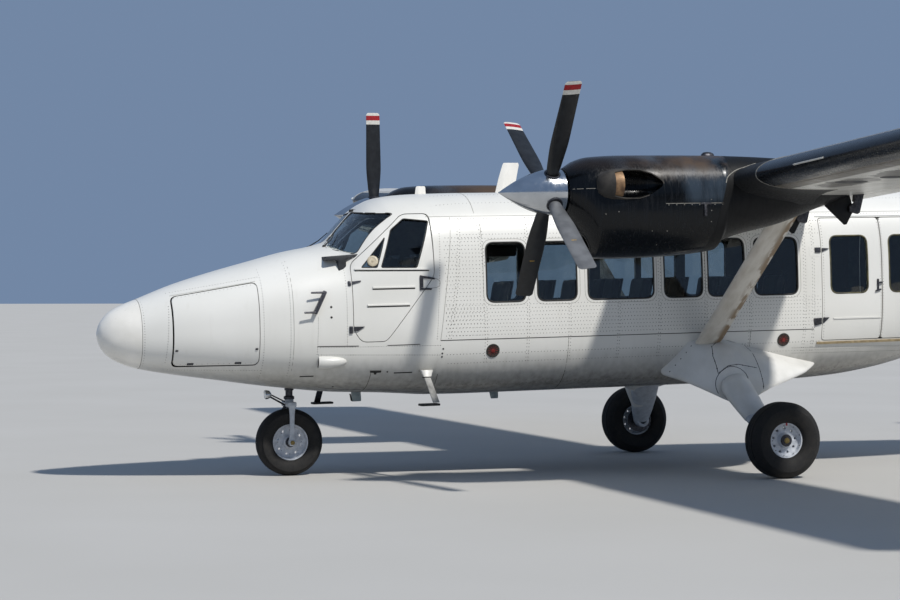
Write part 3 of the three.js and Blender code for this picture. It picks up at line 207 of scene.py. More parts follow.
def wing_enamel():
    """White wing enamel with a brown-black gloss band behind the leading edge below, its brown a painted reflection of
    the ground, dark ovals below the wing, and grey streaks drawn aft
    """
    made, node, shader, place = blank("wing_enamel")
    clouds = node("TexNoise", (place, 0, UNIT / 500, 3, ROUGH))
    streaks = node("TexNoise", (node("Mapping", {0: place, 3: (0.05, 1, 1)}), 0, UNIT / 50, 4, ROUGH))
    waves = node("TexNoise", (place, 0, UNIT / 240, 1, ROUGH))
    paint = node("Mix", {0: node("MapRange", (clouds, 0.35, 0.7)), 6: "#e2e0da", 7: "#cfccc3"}, **COLOURS)
    wash = node("MapRange", (streaks, 0.48, 0.75, 0.0, 0.5))
    marked = node("Mix", {0: wash, 6: paint, 7: "#98907f"}, **COLOURS)
    facing = node("SeparateXYZ", (node("NewGeometry", output="Normal"),), "Z")
    front = node("MapRange", (node("SeparateXYZ", (place,), "X"), 0.70, 0.73))
    band = node("Math", (front, node("MapRange", (facing, 0.25, 0.05))), **TIMES)
    # The band's dark paint, tinted brown as a painted reflection of the ground below
    brown = node("Mix", {0: node("MapRange", (streaks, 0.3, 0.7)), 6: "#2b241c", 7: "#54452f"}, **COLOURS)
    under = node("MapRange", (facing, 0.1, -0.1))
    both = node("VectorMath", (place,), operation="ABSOLUTE")
    ragged = node("TexNoise", (place, 0, UNIT / 111.1, 3), "Color")
    torn = node("VectorMath", (ragged, (0.22, 0.3, 0), both), operation="MULTIPLY_ADD")
    # Darker ovals on the underside, their edges ragged
    for x, y, chord, span in DARK_OVALS:
        oval = node("Mapping", {0: torn, 1: (x, y, 2.8), 3: (chord, span, 9)}, vector_type="TEXTURE")
        reach = node("VectorMath", (oval,), "Value", operation="LENGTH")
        share = node("Math", (under, node("MapRange", (reach, 1.02, 0.86, 0.0, 0.92))), **TIMES)
        marked = node("Mix", {0: share, 6: marked, 7: "#46413a"}, **COLOURS)
    feed(shader, {
        "Base Color": node("Mix", {0: band, 6: marked, 7: brown}, **COLOURS),
        "Roughness": node("MapRange", (streaks, 0.3, 0.75, 0.25, 0.42)),
        "Normal": node("Bump", {"Height": waves, "Distance": 0.9 / UNIT}),
        "Coat Weight": 0.15, "Coat Roughness": 0.2,
    })
    return made


def strut_enamel():
    """Pale enamel of the wing struts, its trailing edge rubbed through to tan primer"""
    made, node, shader, place = blank("strut_enamel")
    patches = node("TexNoise", (node("Mapping", {0: place, 3: (1, 0.35, 0.35)}), 0, UNIT / 90, 5, ROUGH))
    paint = node("Mix", {0: node("MapRange", (patches, 0.4, 0.7)), 6: "#d9d4ca", 7: "#c4bdb0"}, **COLOURS)
    rear = node("MapRange", (node("SeparateXYZ", (place,), "X"), 0.305, 0.235))
    worn = node("Math", (rear, node("MapRange", (patches, 0.46, 0.52))), **TIMES)
    left = node("Math", (1.0, worn), operation="SUBTRACT", use_clamp=True)
    feed(shader, {
        "Base Color": node("Mix", {0: worn, 6: paint, 7: "#8c765b"}, **COLOURS),
        "Roughness": node("MapRange", (patches, 0.3, 0.7, 0.35, 0.6)),
        "Normal": node("Bump", {"Height": left, "Distance": 0.3 / UNIT}),
    })
    return made


def clear_acrylic():
    """Stretched acrylic of the windows: clear, faintly smoked, with a wipe of haze"""
    made, node, shader, place = blank("acrylic_glazing")
    haze = node("TexNoise", (node("Mapping", {0: place, 3: (1, 1, 0.4)}), 0, UNIT / 120, 3, ROUGH))
    feed(shader, {
        "Base Color": node("Mix", {0: haze, 6: "#c3cccb", 7: "#d6dbd8"}, **COLOURS),
        "Roughness": node("MapRange", (haze, 0.4, 0.8, 0.0, 0.06)),
        "Transmission Weight": 1.0, "IOR": 1.49,
    })
    return made


ENAMEL = body_enamel()
COWL_ENAMEL = soot_enamel()
WING_ENAMEL = wing_enamel()
STRUT_ENAMEL = strut_enamel()
ACRYLIC = clear_acrylic()
# Fairings over the gear: white enamel, kept clean
FAIRING_ENAMEL = plain_finish("fairing_enamel", "#dfdeda", "#cfcec9", 260, (0.3, 0.44), 0.2, coat=0.15)
# Radome: fibreglass painted in a slightly warmer, smoother white
RADOME_ENAMEL = plain_finish("radome_enamel", "#f0ede6", "#e2dfd7", 320, (0.26, 0.4), 0.15, coat=0.2)
# Seals: moulded black rubber, dusty in its folds
RUBBER = plain_finish("moulded_rubber", "#151515", "#2a2926", 40, (0.55, 0.8), 0.1)
# Seams: grey sealant and dirt in the laps between sheets
SEALANT = plain_finish("lap_sealant", "#8e8b83", "#6d6a63", 30, (0.6, 0.8), 0.05)
# Door window surrounds: sealant gone olive with age
AGED_SEALANT = plain_finish("aged_sealant", "#5f5a3c", "#2b291d", 60, (0.5, 0.7), 0.05)
# Gaps: dark dirt in the deeper laps and round the doors, and painted shadow below the lap edges and under the door
# ribs
DARK_GAP_AND_SHADOW = plain_finish("gap_dirt_and_shadow", "#3b3832", "#24221f", 30, (0.7, 0.85), 0.05)
# Rivet heads: enamel rubbed thin, with dirt round each head, and painted shade round the tiny heads so that they show
# as dots
RIVET_DIRT_AND_SHADE = plain_finish("rivet_dirt_and_shade", "#615e57", "#45423c", 25, (0.45, 0.65), 0.02)
# Vent plugs: faded red enamel
VENT_RED = plain_finish("vent_red", "#7e1d18", "#5d1512", 12, (0.5, 0.7), 0.05)
# Door sill: bare aluminium scuffed to a warm grey
SILL_METAL = plain_finish("scuffed_sill", "#b9a684", "#8f8064", 30, (0.35, 0.55), 0.05, metallic=0.5)
# Trim: moulded dark plastic lining of the cabin
LINING = plain_finish("cabin_lining", "#4b4842", "#3c3934", 90, (0.6, 0.8), 0.2)
# Fittings: zinc-plated steel gone dull and dark
STEEL = plain_finish("plated_steel", "#55555a", "#37373b", 18, (0.35, 0.55), 0.04, metallic=0.85)
# Fabric of the seats: dark woven cloth, its threads drawn coarser than real ones so that they show
CLOTH = plain_finish("woven_cloth", "#26272b", "#34353a", 6, (0.8, 0.95), 0.5, sheen=0.3)
# Floor covering: ribbed dark mat
MAT = plain_finish("floor_mat", "#2d2c2a", "#3b3936", 12, (0.75, 0.9), 0.4)
# Panel: dark grey painted aluminium
PANEL_PAINT = plain_finish("panel_paint", "#26282b", "#33363a", 30, (0.5, 0.65), 0.05)
# Spinner: polished aluminium with thin oil streaks
POLISHED = plain_finish("polished_aluminium", "#cdd0d4", "#b4b8bd", 260, (0.1, 0.22), 0.05, metallic=1.0)
# Blades: black polyurethane over aluminium
BLADE_PAINT = plain_finish("blade_paint", "#101113", "#1e2023", 60, (0.3, 0.5), 0.05)
# One blade: its black paint painted grey for the sun's sheen on it, with streaks of grit wear along the blade
SHEEN_AND_WEAR_PAINT = plain_finish("worn_blade_paint", "#55575a", "#707275", 150, (0.4, 0.55), 0.04, metallic=0.2)
# Blade bands: brushed white and red enamel
BAND_WHITE = plain_finish("white_band", "#dcdad4", "#c9c5bb", 30, (0.4, 0.6), 0.04)
BAND_RED = plain_finish("red_band", "#a3121c", "#850f17", 30, (0.4, 0.6), 0.04)
INDEX_YELLOW = plain_finish("index_yellow", "#c29a2b", "#8d6f24", 10, (0.4, 0.6), 0.04)
# Louvre discs and sun visors: cream ABS gone beige with age
CREAM_PLASTIC = plain_finish("cream_abs", "#cabfa8", "#b1a58c", 30, (0.4, 0.55), 0.05)
# Blinds: pleated brown plastic, dull with age
BLIND = plain_finish("pleated_plastic", "#4a3f33", "#37302a", 9, (0.65, 0.85), 0.3)
# Wing root: matt black sealing paint over the leading edge beside the engine
MATT_BLACK = plain_finish("matt_root_paint", "#0c0d0f", "#1a1b1d", 160, (0.55, 0.75), 0.2)
# Aerials below: grey-green moulded fibreglass
AERIAL_GREY = plain_finish("aerial_fibreglass", "#8d9a9d", "#76838a", 40, (0.45, 0.6), 0.05)
# De-icing boots: black neoprene rubbed to a dull gloss
BOOT = plain_finish("deicing_boot", "#0b0d11", "#15191f", 120, (0.22, 0.36), 0.12, coat=0.12)
# Exhaust: stainless pipe heated to tan and brown
HOT_STEEL = plain_finish("heated_steel", "#9c7c5a", "#5d4633", 60, (0.45, 0.65), 0.05, metallic=0.3)
# Exhaust stub: stainless under a coat of grey soot
SOOTED = plain_finish("sooted_stainless", "#3d3934", "#191817", 110, (0.6, 0.8), 0.1)
# Lamps: lenses of smooth, bright glass
LAMP = plain_finish("lamp_lens", "#e8ecee", "#cdd4d8", 8, (0.05, 0.12), 0.3, coat=0.6)
# Hub nuts: cadmium-plated steel, yellowish
GOLD = plain_finish("cadmium_plate", "#a08a55", "#6f6039", 10, (0.35, 0.5), 0.03, metallic=0.7)
# Tyres: black rubber with dust
TYRE = plain_finish("tyre_rubber", "#0e0e0f", "#1b1917", 50, (0.7, 0.9), 0.3)
# Wheels and legs: pale grey enamel, chipped
LEG_ENAMEL = plain_finish("gear_enamel", "#c3c8ce", "#a9aeb5", 60, (0.35, 0.5), 0.08)
WHEEL_ENAMEL = plain_finish("wheel_enamel", "#c9cdd3", "#a9aeb6", 40, (0.35, 0.5), 0.08)

# Finishes by slot of model.glb; the first in a row goes on the imported pieces
SLOTS = {
    "white_paint": [ENAMEL, FAIRING_ENAMEL, WING_ENAMEL, STRUT_ENAMEL, RIVET_DIRT_AND_SHADE, SEALANT, DARK_GAP_AND_SHADOW, BAND_WHITE],
    "radome_paint": [RADOME_ENAMEL],
    "nacelle_paint": [COWL_ENAMEL, SOOTED, MATT_BLACK],
    "cockpit_glass": [ACRYLIC, LAMP],
    "panel_plastic": [PANEL_PAINT, LINING, MAT, BLIND, CREAM_PLASTIC, AGED_SEALANT, RUBBER],
    "seat_fabric": [CLOTH],
    "tyre": [TYRE, BOOT],
    "wheel_paint": [WHEEL_ENAMEL, GOLD, BAND_RED],
    "gear_paint": [LEG_ENAMEL],
    "blade_paint": [BLADE_PAINT, SHEEN_AND_WEAR_PAINT],
    "spinner_metal": [POLISHED],
    "engine_metal": [STEEL, HOT_STEEL, SILL_METAL, AERIAL_GREY, VENT_RED],
}

SIDES = ((1, "left"), (-1, "right"))

# Fuselage: columns are station, bottom, top, half width, roundness of the top, roundness of the bottom
FUSELAGE = [
    [0, 1556, 1580, 12, 2.0, 2.0],
    [8, 1512, 1622, 58, 2.0, 2.0],
    [40, 1432, 1696, 140, 2.0, 2.0],
    [120, 1345, 1784, 232, 2.1, 2.1],
    [240, 1278, 1852, 312, 2.1, 2.1],
    [385, 1228, 1906, 382, 2.2, 2.2],
    [755, 1155, 2045, 535, 2.3, 2.3],
    [1150, 1092, 2160, 650, 2.4, 2.4],
    [1550, 1027, 2262, 745, 2.5, 2.5],
    [1850, 985, 2338, 798, 2.5, 2.6],
    [2300, 934, 2432, 848, 2.6, 2.8],
    [2420, 927, 2556, 857, 2.6, 2.9],
    [2580, 920, 2724, 865, 2.6, 3.0],
    [2700, 914, 2812, 869, 2.6, 3.0],
    [2830, 906, 2866, 872, 2.7, 3.1],
    [3000, 893, 2892, 874, 2.8, 3.2],
    [3240, 875, 2904, 875, 3.0, 3.2],
    [3730, 867, 2910, 875, 3.2, 3.2],
    [5470, 868, 2910, 875, 3.2, 3.2],
    [7300, 880, 2910, 875, 3.2, 3.2],
    [7780, 905, 2910, 875, 3.2, 3.2],
    [8300, 974, 2909, 872, 3.2, 3.1],
    [8950, 1128, 2904, 856, 3.1, 3.0],
    [10450, 1490, 2880, 735, 2.8, 2.7],
    [12500, 1950, 2830, 470, 2.4, 2.3],
    [14300, 2280, 2760, 215, 2.1, 2.1],
    [14960, 2400, 2690, 105, 2.0, 2.0],
]
RADOME_END = 385
NOSE_END = 1780
COCKPIT_END = 3240
CABIN_END = 8950
AFT_BAY_END = 10450
TAIL_END = 14960
# Gap between skins that meet, thickness of the skin, and how deep strips are set in it
TOUCH = 0.3
SKIN = 24
SUNK = 3
SHARP = radians(35)
FLOOR_TOP = 1290
RING_POINTS = 96
RING_STEP = 75


def steps(first, last, pitch):
    """Even steps from first to last, about a pitch apart"""
    count = max(1, round((last - first) / pitch))
    return [first + (last - first) * i / count for i in range(count + 1)]


def turns(count):
    """Angles of a full turn in even steps"""
    return [i / count * tau for i in range(count)]


def along(line, pitch):
    """Points along a line of corners, about a pitch apart, its last corner left out"""
    points = []
    for (a, b), (c, d) in zip(line, line[1:]):
        count = max(1, round(dist((a, b), (c, d)) / pitch))
        points += [(a + (c - a) * i / count, b + (d - b) * i / count) for i in range(count)]
    return points


def smoothed(points):
    """A curve through some points"""
    ends = [points[0] * 2 - points[1], *points, points[-1] * 2 - points[-2]]
    path = []
    for a, b, c, d in zip(ends, ends[1:], ends[2:], ends[3:]):
        for t in steps(0, 1, 1 / 6)[:-1]:
            path.append(0.5 * (2 * b + (c - a) * t + (2 * a - 5 * b + 4 * c - d) * t ** 2
                               + (3 * b - a - 3 * c + d) * t ** 3))
    return [*path, points[-1]]


def curve_through(table):
    """Smooth values between a table's rows that never overshoot them"""
    keys = [row[0] for row in table]
    columns = list(zip(*table))[1:]
    spans = [b - a for a, b in zip(keys, keys[1:])]
    slopes = []
    for column in columns:
        rises = [(b - a) / span for a, b, span in zip(column, column[1:], spans)]
        inner = [2 * p * q / (p + q) if p * q > 0 else 0.0 for p, q in zip(rises, rises[1:])]
        slopes.append([rises[0], *inner, rises[-1]])

    def values(key):
        i = min(max(bisect.bisect_right(keys, key) - 1, 0), len(spans) - 1)
        span = spans[i]
        t = (key - keys[i]) / span
        a, b = (1 + 2 * t) * (1 - t) ** 2, t * (1 - t) ** 2 * span
        c, d = t ** 2 * (3 - 2 * t), t ** 2 * (t - 1) * span
        return [a * column[i] + b * slope[i] + c * column[i + 1] + d * slope[i + 1]
                for column, slope in zip(columns, slopes)]
    return values


hull = curve_through(FUSELAGE)
# A body is its curve and the distance of its middle line to port
FUSE = (hull, 0)


def section(station, depth=0, body=FUSE, count=RING_POINTS):
    """A ring of points round a body at a station, its first point repeated at its end"""
    curve, middle = body
    bottom, top, half, round_top, *rest = curve(station)
    round_bottom = rest[0] if rest else round_top
    centre, height, width = (top + bottom) / 2, (top - bottom) / 2 - depth, half - depth
    points = []
    for step in range(count + 1):
        angle = (step + 0.5) / count * tau
        across, up = cos(angle), sin(angle)
        power = 2 / (round_top if up > 0 else round_bottom)
        points.append(at(station, middle + width * copysign(abs(across) ** power, across),
                         centre + height * copysign(abs(up) ** power, up)))
    return points


def places(table, first, last, step=RING_STEP):
    """Stations from first to last, with a table's own rows among them"""
    count = max(1, round((last - first) / step))
    even = [first + (last - first) * i / count for i in range(count + 1)]
    kept = [row[0] for row in table if first < row[0] < last]
    return sorted(kept + [s for s in even if all(abs(s - k) > step / 3 for k in kept)])


def surface(rows):
    """A grid whose points are moved to rows of places, its doubles merged and its open ends filled"""
    bm = bmesh.new()
    bmesh.ops.create_grid(bm, x_segments=len(rows[0]) - 1, y_segments=len(rows) - 1, size=1)
    for vert, place in zip(bm.verts, [place for row in rows for place in row]):
        vert.co = place
    bmesh.ops.remove_doubles(bm, verts=bm.verts, dist=0.01)
    bmesh.ops.holes_fill(bm, edges=[edge for edge in bm.edges if edge.is_boundary], sides=0)
    bmesh.ops.recalc_face_normals(bm, faces=bm.faces)
    return bm


def solid(first, last, depth):
    """The fuselage between two stations as a solid"""
    return surface([section(station, depth) for station in places(FUSELAGE, first, last)])


def shell(first, last, outer=0, inner=SKIN):
    """The fuselage skin between two stations and two depths"""
    stations = places(FUSELAGE, first, last)
    outside = [section(station, outer) for station in stations]
    inside = [section(station, inner) for station in reversed(stations)]
    return surface([*outside, *inside, outside[0]])


def grown(outline, distance):
    """An outline moved outwards by a distance, square to its sides"""
    area = sum(a[0] * b[1] - b[0] * a[1] for a, b in zip(outline, outline[1:] + outline[:1]))
    side = copysign(1, area)
    moved = []
    for i, point in enumerate(outline):
        here = Vector(point)
        back = (here - Vector(outline[i - 1])).normalized()
        ahead = (Vector(outline[(i + 1) % len(outline)]) - here).normalized()
        first, second = Vector((back.y, -back.x)), Vector((ahead.y, -ahead.x))
        bisector = (first + second).normalized()
        moved.append(tuple(here + bisector * side * distance / bisector.dot(second)))
    return moved


def rounded(outline, radius, parts=6):
    """An outline as points, with an arc at each corner"""
    points = []
    for i, point in enumerate(outline):
        here = Vector(point)
        back = Vector(outline[i - 1]) - here
        ahead = Vector(outline[(i + 1) % len(outline)]) - here
        reach = min(radius, back.length * 0.48, ahead.length * 0.48)
        start, end = here + back.normalized() * reach, here + ahead.normalized() * reach
        points += [tuple(start * (1 - t) ** 2 + here * 2 * t * (1 - t) + end * t ** 2)
                   for t in (part / parts for part in range(parts + 1))]
    return points


# A prism's outlines are (station, z) seen from the side, (y, z) from the front and (station, y) in plan
VIEWS = {
    "side": lambda a, b, depth: at(a, depth, b),
    "front": lambda a, b, depth: at(depth, a, b),
    "plan": lambda a, b, depth: at(a, b, depth),
}


def prism(view, outline, near, far, radius=0):
    """A flat outline with rounded corners, drawn out between two depths"""
    bm = bmesh.new()
    lay = VIEWS[view]
    flat = rounded(outline, radius) if radius else outline
    face = bm.faces.new([bm.verts.new(lay(a, b, near)) for a, b in flat])
    made = bmesh.ops.extrude_face_region(bm, geom=[face])["geom"]
    reach = lay(0, 0, far) - lay(0, 0, near)
    bmesh.ops.translate(bm, vec=reach, verts=[v for v in made if isinstance(v, bmesh.types.BMVert)])
    bmesh.ops.recalc_face_normals(bm, faces=bm.faces)
    return bm


def rectangle(first, last, low, high):
    return [(first, low), (last, low), (last, high), (first, high)]


def block(stations, ys, zs):
    return prism("side", rectangle(*stations, *zs), *ys)


def ground_block(xs, ys, zs):
    """A box in the ground frame"""
    bm = bmesh.new()
    size = [high - low for low, high in (xs, ys, zs)]
    middle = Vector((sum(xs), sum(ys), sum(zs))) / 2
    bmesh.ops.create_cube(bm, size=1, matrix=Matrix.Translation(middle) @ Matrix.Diagonal((*size, 1)))
    return bm


def gathered(parts):
    """Several meshes in one"""
    whole = bmesh.new()
    for part in parts:
        mesh = bpy.data.meshes.new("part")
        part.to_mesh(mesh)
        part.free()
        whole.from_mesh(mesh)
        bpy.data.meshes.remove(mesh)
    return whole


def mirrored(bm):
    """The starboard copy of a port mesh"""
    other = bm.copy()
    bmesh.ops.scale(other, vec=(1, -1, 1), verts=other.verts)
    bmesh.ops.reverse_faces(other, faces=other.faces)
    return other


def carve(bm, tools, operation="DIFFERENCE"):
    """A solid less its tools, or what it shares with them, tools being one mesh or a list of separate ones"""
    whole = gathered(tools) if isinstance(tools, list) else tools
    objects = []
    for name, source in (("body", bm), ("tool", whole)):
        mesh = bpy.data.meshes.new(name)
        source.to_mesh(mesh)
        source.free()
        objects.append(new_object(name, mesh))
    body, tool = objects
    cut = body.modifiers.new("cut", "BOOLEAN")
    cut.operation = operation
    cut.solver = "MANIFOLD"
    cut.object = tool
    result = body.evaluated_get(bpy.context.evaluated_depsgraph_get())
    left = bmesh.new()
    left.from_mesh(result.to_mesh())
    result.to_mesh_clear()
    for made in objects:
        mesh = made.data
        bpy.data.objects.remove(made)
        bpy.data.meshes.remove(mesh)
    return left


def piece(name, bm, finish, body="airframe", slot=None, place=AIR, crease=32, nodes=()):
    """A finished piece of one or more meshes in its place, riding on a body and standing for CAD nodes"""
    bm = gathered(bm) if isinstance(bm, list) else bm
    bm.transform(place)
    mesh = bpy.data.meshes.new(name)
    bm.to_mesh(mesh)
    bm.free()
    finishes = finish if isinstance(finish, list) else [finish]
    for one in finishes:
        mesh.materials.append(one)
    mesh.polygons.foreach_set("use_smooth", [True] * len(mesh.polygons))
    mesh.set_sharp_from_angle(angle=radians(crease))
    made = new_object(name, mesh)
    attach(made, body)
    if nodes:
        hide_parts(*nodes)
    return made


def pair(name, bm, finish, bodies=("airframe", "airframe"), nodes=(), **others):
    """A port piece and its mirror image to starboard"""
    bm = gathered(bm) if isinstance(bm, list) else bm
    return [piece(f"{name}_{label}", made, finish, body, nodes=[f"{node}_{label}" for node in nodes], **others)
            for (_, label), made, body in zip(SIDES, (bm, mirrored(bm)), bodies)]


def measures(station, z, body):
    """Middle height, half height, half width and roundness of a body's section at a height"""
    bottom, top, half, round_top, *rest = body[0](station)
    middle = (top + bottom) / 2
    return middle, (top - bottom) / 2, half, round_top if z > middle or not rest else rest[0]


def swell(station, y, z, body=FUSE):
    """One on a body's skin, less inside it"""
    middle, height, half, power = measures(station, z, body)
    return (abs(y - body[1]) / half) ** power + (abs(z - middle) / height) ** power


def outward(station, y, z, body=FUSE):
    """Direction square to the skin in the level airframe"""
    here = swell(station, y, z, body)
    slope = Vector((here - swell(station + 1, y, z, body), swell(station, y + 1, z, body) - here,
                    swell(station, y, z + 1, body) - here))
    return slope.normalized()


def raised(station, y, z, lift, body):
    """A place on a body's skin raised off it, with the way out there"""
    out = outward(station, y, z, body)
    return at(station, y, z) + out * lift, out


def smooth_skin(made, lining=None, body=FUSE):
    """Gives a skin piece its body's own smooth shading outside, and its lining inside"""
    mesh = made.data
    level = AIR.inverted()
    turn = AIR.to_3x3().normalized()
    normals = [corner.vector.copy() for corner in mesh.corner_normals]
    outside = {}
    for vert in mesh.vertices:
        x, y, z = level @ vert.co
        station = MAIN_STATION - x
        if abs(swell(station, y, z, body) - 1) < 0.006:
            outside[vert.index] = turn @ outward(station, y, z, body)
    for face in mesh.polygons:
        corners = [mesh.loops[i].vertex_index for i in face.loop_indices]
        if lining is not None and not any(corner in outside for corner in corners):
            face.material_index = lining
        for i, corner in zip(face.loop_indices, corners):
            if corner in outside and outside[corner].dot(face.normal) > 0.9:
                normals[i] = outside[corner]
    mesh.normals_split_custom_set(normals)
    return made


def skin_piece(name, bm, body="airframe", *, nodes):
    """A piece of the white skin, dark inside"""
    return smooth_skin(piece(name, bm, [ENAMEL, LINING], body, nodes=nodes), 1)


def on_side(station, z, side=1, lift=0, body=FUSE):
    """A place on a body's side"""
    middle, height, half, power = measures(station, z, body)
    y = body[1] + side * half * max(0.0, 1 - (abs(z - middle) / height) ** power) ** (1 / power)
    return raised(station, y, z, lift, body)


def on_top(station, y, up=1):
    """A place on the fuselage's roof, or on its belly where up is -1"""
    middle, height, half, power = measures(station, up * 1e6, FUSE)
    z = middle + up * height * max(0.0, 1 - (abs(y) / half) ** power) ** (1 / power)
    return raised(station, y, z, 0, FUSE)


def round_body(station, first, last, lift=0, body=FUSE):
    """Places round a section, by angle from port over the roof"""
    middle, height, half = measures(station, 1e6, body)[:3]
    path = []
    for angle in steps(first, last, 5):
        across, up = cos(radians(angle)), sin(radians(angle))
        power = 2 / measures(station, middle + up, body)[3]
        y = body[1] + half * copysign(abs(across) ** power, across)
        z = middle + height * copysign(abs(up) ** power, up)
        path.append(raised(station, y, z, lift, body))
    return path


def run(path, profile, closed=False):
    """A profile of (across, up) places carried along a path of (place, way up) pairs"""
    rows = []
    count = len(path)
    for i, (place, up) in enumerate(path):
        before, after = (i - 1, (i + 1) % count) if closed else (max(i - 1, 0), min(i + 1, count - 1))
        ahead = (path[after][0] - path[before][0]).normalized()
        across = ahead.cross(up).normalized()
        rows.append([place + across * a + across.cross(ahead) * b for a, b in [*profile, profile[0]]])
    return surface(rows + rows[:1] if closed else rows)


def flat_bar(width, height):
    return rectangle(-width / 2, width / 2, -SUNK, height)


def round_bar(radius):
    return [(radius * cos(turn), radius * sin(turn)) for turn in turns(8)]


def lofted(rings):
    """A closed body over rings of equal length"""
    return surface([[*ring, ring[0]] for ring in rings])


def facing(way):
    """The turn that points a shape's Z axis that way"""
    return way.to_track_quat("Z", "Y").to_matrix().to_4x4()


def turned(profile, centre, axis, sides):
    """A profile of (radius, reach) places turned round an axis; one that starts off the axis is a closed ring"""
    bm = bmesh.new()
    verts = [bm.verts.new((radius, 0, reach)) for radius, reach in profile]
    loop = verts if profile[0][0] == 0 else [*verts, verts[0]]
    edges = [bm.edges.new(ends) for ends in zip(loop, loop[1:])]
    bmesh.ops.spin(bm, geom=[*verts, *edges], cent=(0, 0, 0), axis=(0, 0, 1), angle=tau, steps=sides,
                   use_merge=True)
    bmesh.ops.remove_doubles(bm, verts=bm.verts, dist=0.001)
    bmesh.ops.recalc_face_normals(bm, faces=bm.faces)
    bm.transform(Matrix.Translation(centre) @ facing(Vector(axis)))
    return bm


def rod(start, end, radius, far_radius=None, sides=16):
    """A round bar between two places, tapered where it has a far radius"""
    line = end - start
    place = Matrix.Translation((start + end) / 2) @ facing(line)
    bm = bmesh.new()
    bmesh.ops.create_cone(bm, cap_ends=True, segments=sides, radius1=radius, depth=line.length,
                          radius2=radius if far_radius is None else far_radius, matrix=place)
    return bm


def softened(bm, width):
    """The same mesh with its sharp edges rounded"""
    sharp = [edge for edge in bm.edges if edge.calc_face_angle(0) > SHARP]
    bmesh.ops.bevel(bm, geom=sharp, offset=width, segments=2, profile=0.5, affect="EDGES", material=-1)
    return bm


def rivets(rows, radius=6.0, height=1.2, sides=5):
    """Low heads on rows of (place, way out) pairs, drawn wider than the real 3 mm heads so that they show"""
    lines = []
    for row in rows:
        bm = bmesh.new()
        for place, out in row:
            matrix = Matrix.Translation(place + out * (height - 1) / 2) @ facing(out)
            bmesh.ops.create_cone(bm, cap_ends=True, segments=sides, radius1=radius, radius2=radius * 0.3,
                                  depth=height + 1, matrix=matrix)
        lines.append(bm)
    return gathered(lines)


# Openings of the fuselage
NOSE_DOOR = [(655, 1242), (1464, 1242), (1464, 2052), (655, 1922)]
NOSE_LEAF = [(664, 1248), (1464, 1244), (1464, 2052), (664, 1924)]
SCREEN = [(30, 2448), (724, 2300), (636, 2698), (30, 2728)]
CREW_DOOR = [(2356, 1560), (2440, 1437), (2680, 1437), (2724, 1474), (3090, 1940), (3190, 2070), (3190, 2690),
             (2920, 2690), (2356, 2200)]
CREW_LEAF = [(3182 if station > 3000 and z == 2690 else station, z) for station, z in CREW_DOOR]
SIDE_WINDOW = [(2652, 2162), (3010, 2155), (3170, 2612), (2928, 2640), (2784, 2530)]
CORNER_WINDOW = [(2462, 2166), (2612, 2163), (2716, 2456)]
WINDOW_BAND = (1797, 2386)
WINDOWS = [(3725, 4135), (4261, 4681), (4802, 5517), (5636, 6058), (6123, 6535), (6651, 7143)]
DOOR_BAND = (1794, 2395)
DOOR_WINDOWS = [(7528, 7963), (8220, 8655)]
WINDOW_RADIUS = 85
REAR_DOOR = (7420, 8840, 1302, 2587)
REAR_SPLIT = 8130
RIGHT_DOOR = (8060, 8820, 1302, 2480)
AFT_DOOR = [(9140, 1440), (9790, 1520), (9790, 2410), (9140, 2410)]
AFT_LEAF = [(9140, 1440), (9773, 1518), (9780, 2410), (9140, 2410)]
DOOR_GAP = 7
FAR = 1200
NEAR = 250
ACROSS = (-900, 900)
# Stations over which the cabin's section is even
CABIN_RUN = (3300, 8900)
# Doors of the cabin: body, CAD node, ends, window, side and top
CABIN_DOORS = [
    ("rear_door_front", "rear_door_front_leaf", (REAR_DOOR[0], REAR_SPLIT), DOOR_WINDOWS[0], 1, REAR_DOOR[3]),
    ("rear_door_back", "rear_door_back_leaf", (REAR_SPLIT, REAR_DOOR[1]), DOOR_WINDOWS[1], 1, REAR_DOOR[3]),
    ("right_door", "right_cabin_door", (RIGHT_DOOR[0], RIGHT_DOOR[1] - 9), DOOR_WINDOWS[1], -1, RIGHT_DOOR[3]),
]


def side_tool(outline, side, radius):
    return prism("side", outline, *((NEAR, FAR) if side > 0 else (-FAR, -NEAR)), radius)


def window_outlines(side):
    """Windows in the cabin wall on one side"""
    outlines = [rectangle(*ends, *WINDOW_BAND) for ends in WINDOWS]
    return outlines + ([] if side > 0 else [rectangle(*DOOR_WINDOWS[0], *DOOR_BAND)])


def seal_round(outline, radius, side, profile, grow=0):
    """A strip that follows an outline on the fuselage side"""
    points = rounded(grown(outline, grow) if grow else outline, radius)
    path = [on_side(station, z, side) for station, z in along([*points, points[0]], 60)]
    return run(path[::side], profile, closed=True)


WINDOW_SEAL = [(-7, -6), (8, -6), (8, 1.5), (4, 4), (-4, 4), (-7, 1.5)]
DOOR_SEAL = [(-4, -8), (5, -8), (5, 0.6), (-4, 0.6)]


def glazing(name, outlines, side, body, reach, radius=WINDOW_RADIUS, nodes=(), seal=WINDOW_SEAL, finish=RUBBER):
    """Panes behind the skin, with a rubber surround each"""
    panes = carve(shell(*reach, 12, 18), [side_tool(grown(o, 4), side, radius) for o in outlines], "INTERSECT")
    piece(f"{name}_glass", panes, ACRYLIC, body, nodes=nodes)
    piece(f"{name}_seals", [seal_round(o, radius, side, seal) for o in outlines], finish, body, crease=50)


def on_front(y, z):
    """A place on the nose's skin at a distance to port and a height, with the way out there"""
    low, high = 2000, 3100
    for _ in range(24):
        station = (low + high) / 2
        low, high = (station, high) if swell(station, y, z) > 1 else (low, station)
    return at(low, y, z), outward(low, y, z)


def bulkheads(*stations):
    return [solid(station, station + 18, SKIN) for station in stations]


def deck(first, last, low, high):
    """A level floor from wall to wall"""
    return carve(solid(first, last, SKIN), block((first - 20, last + 20), ACROSS, (low, high)), "INTERSECT")


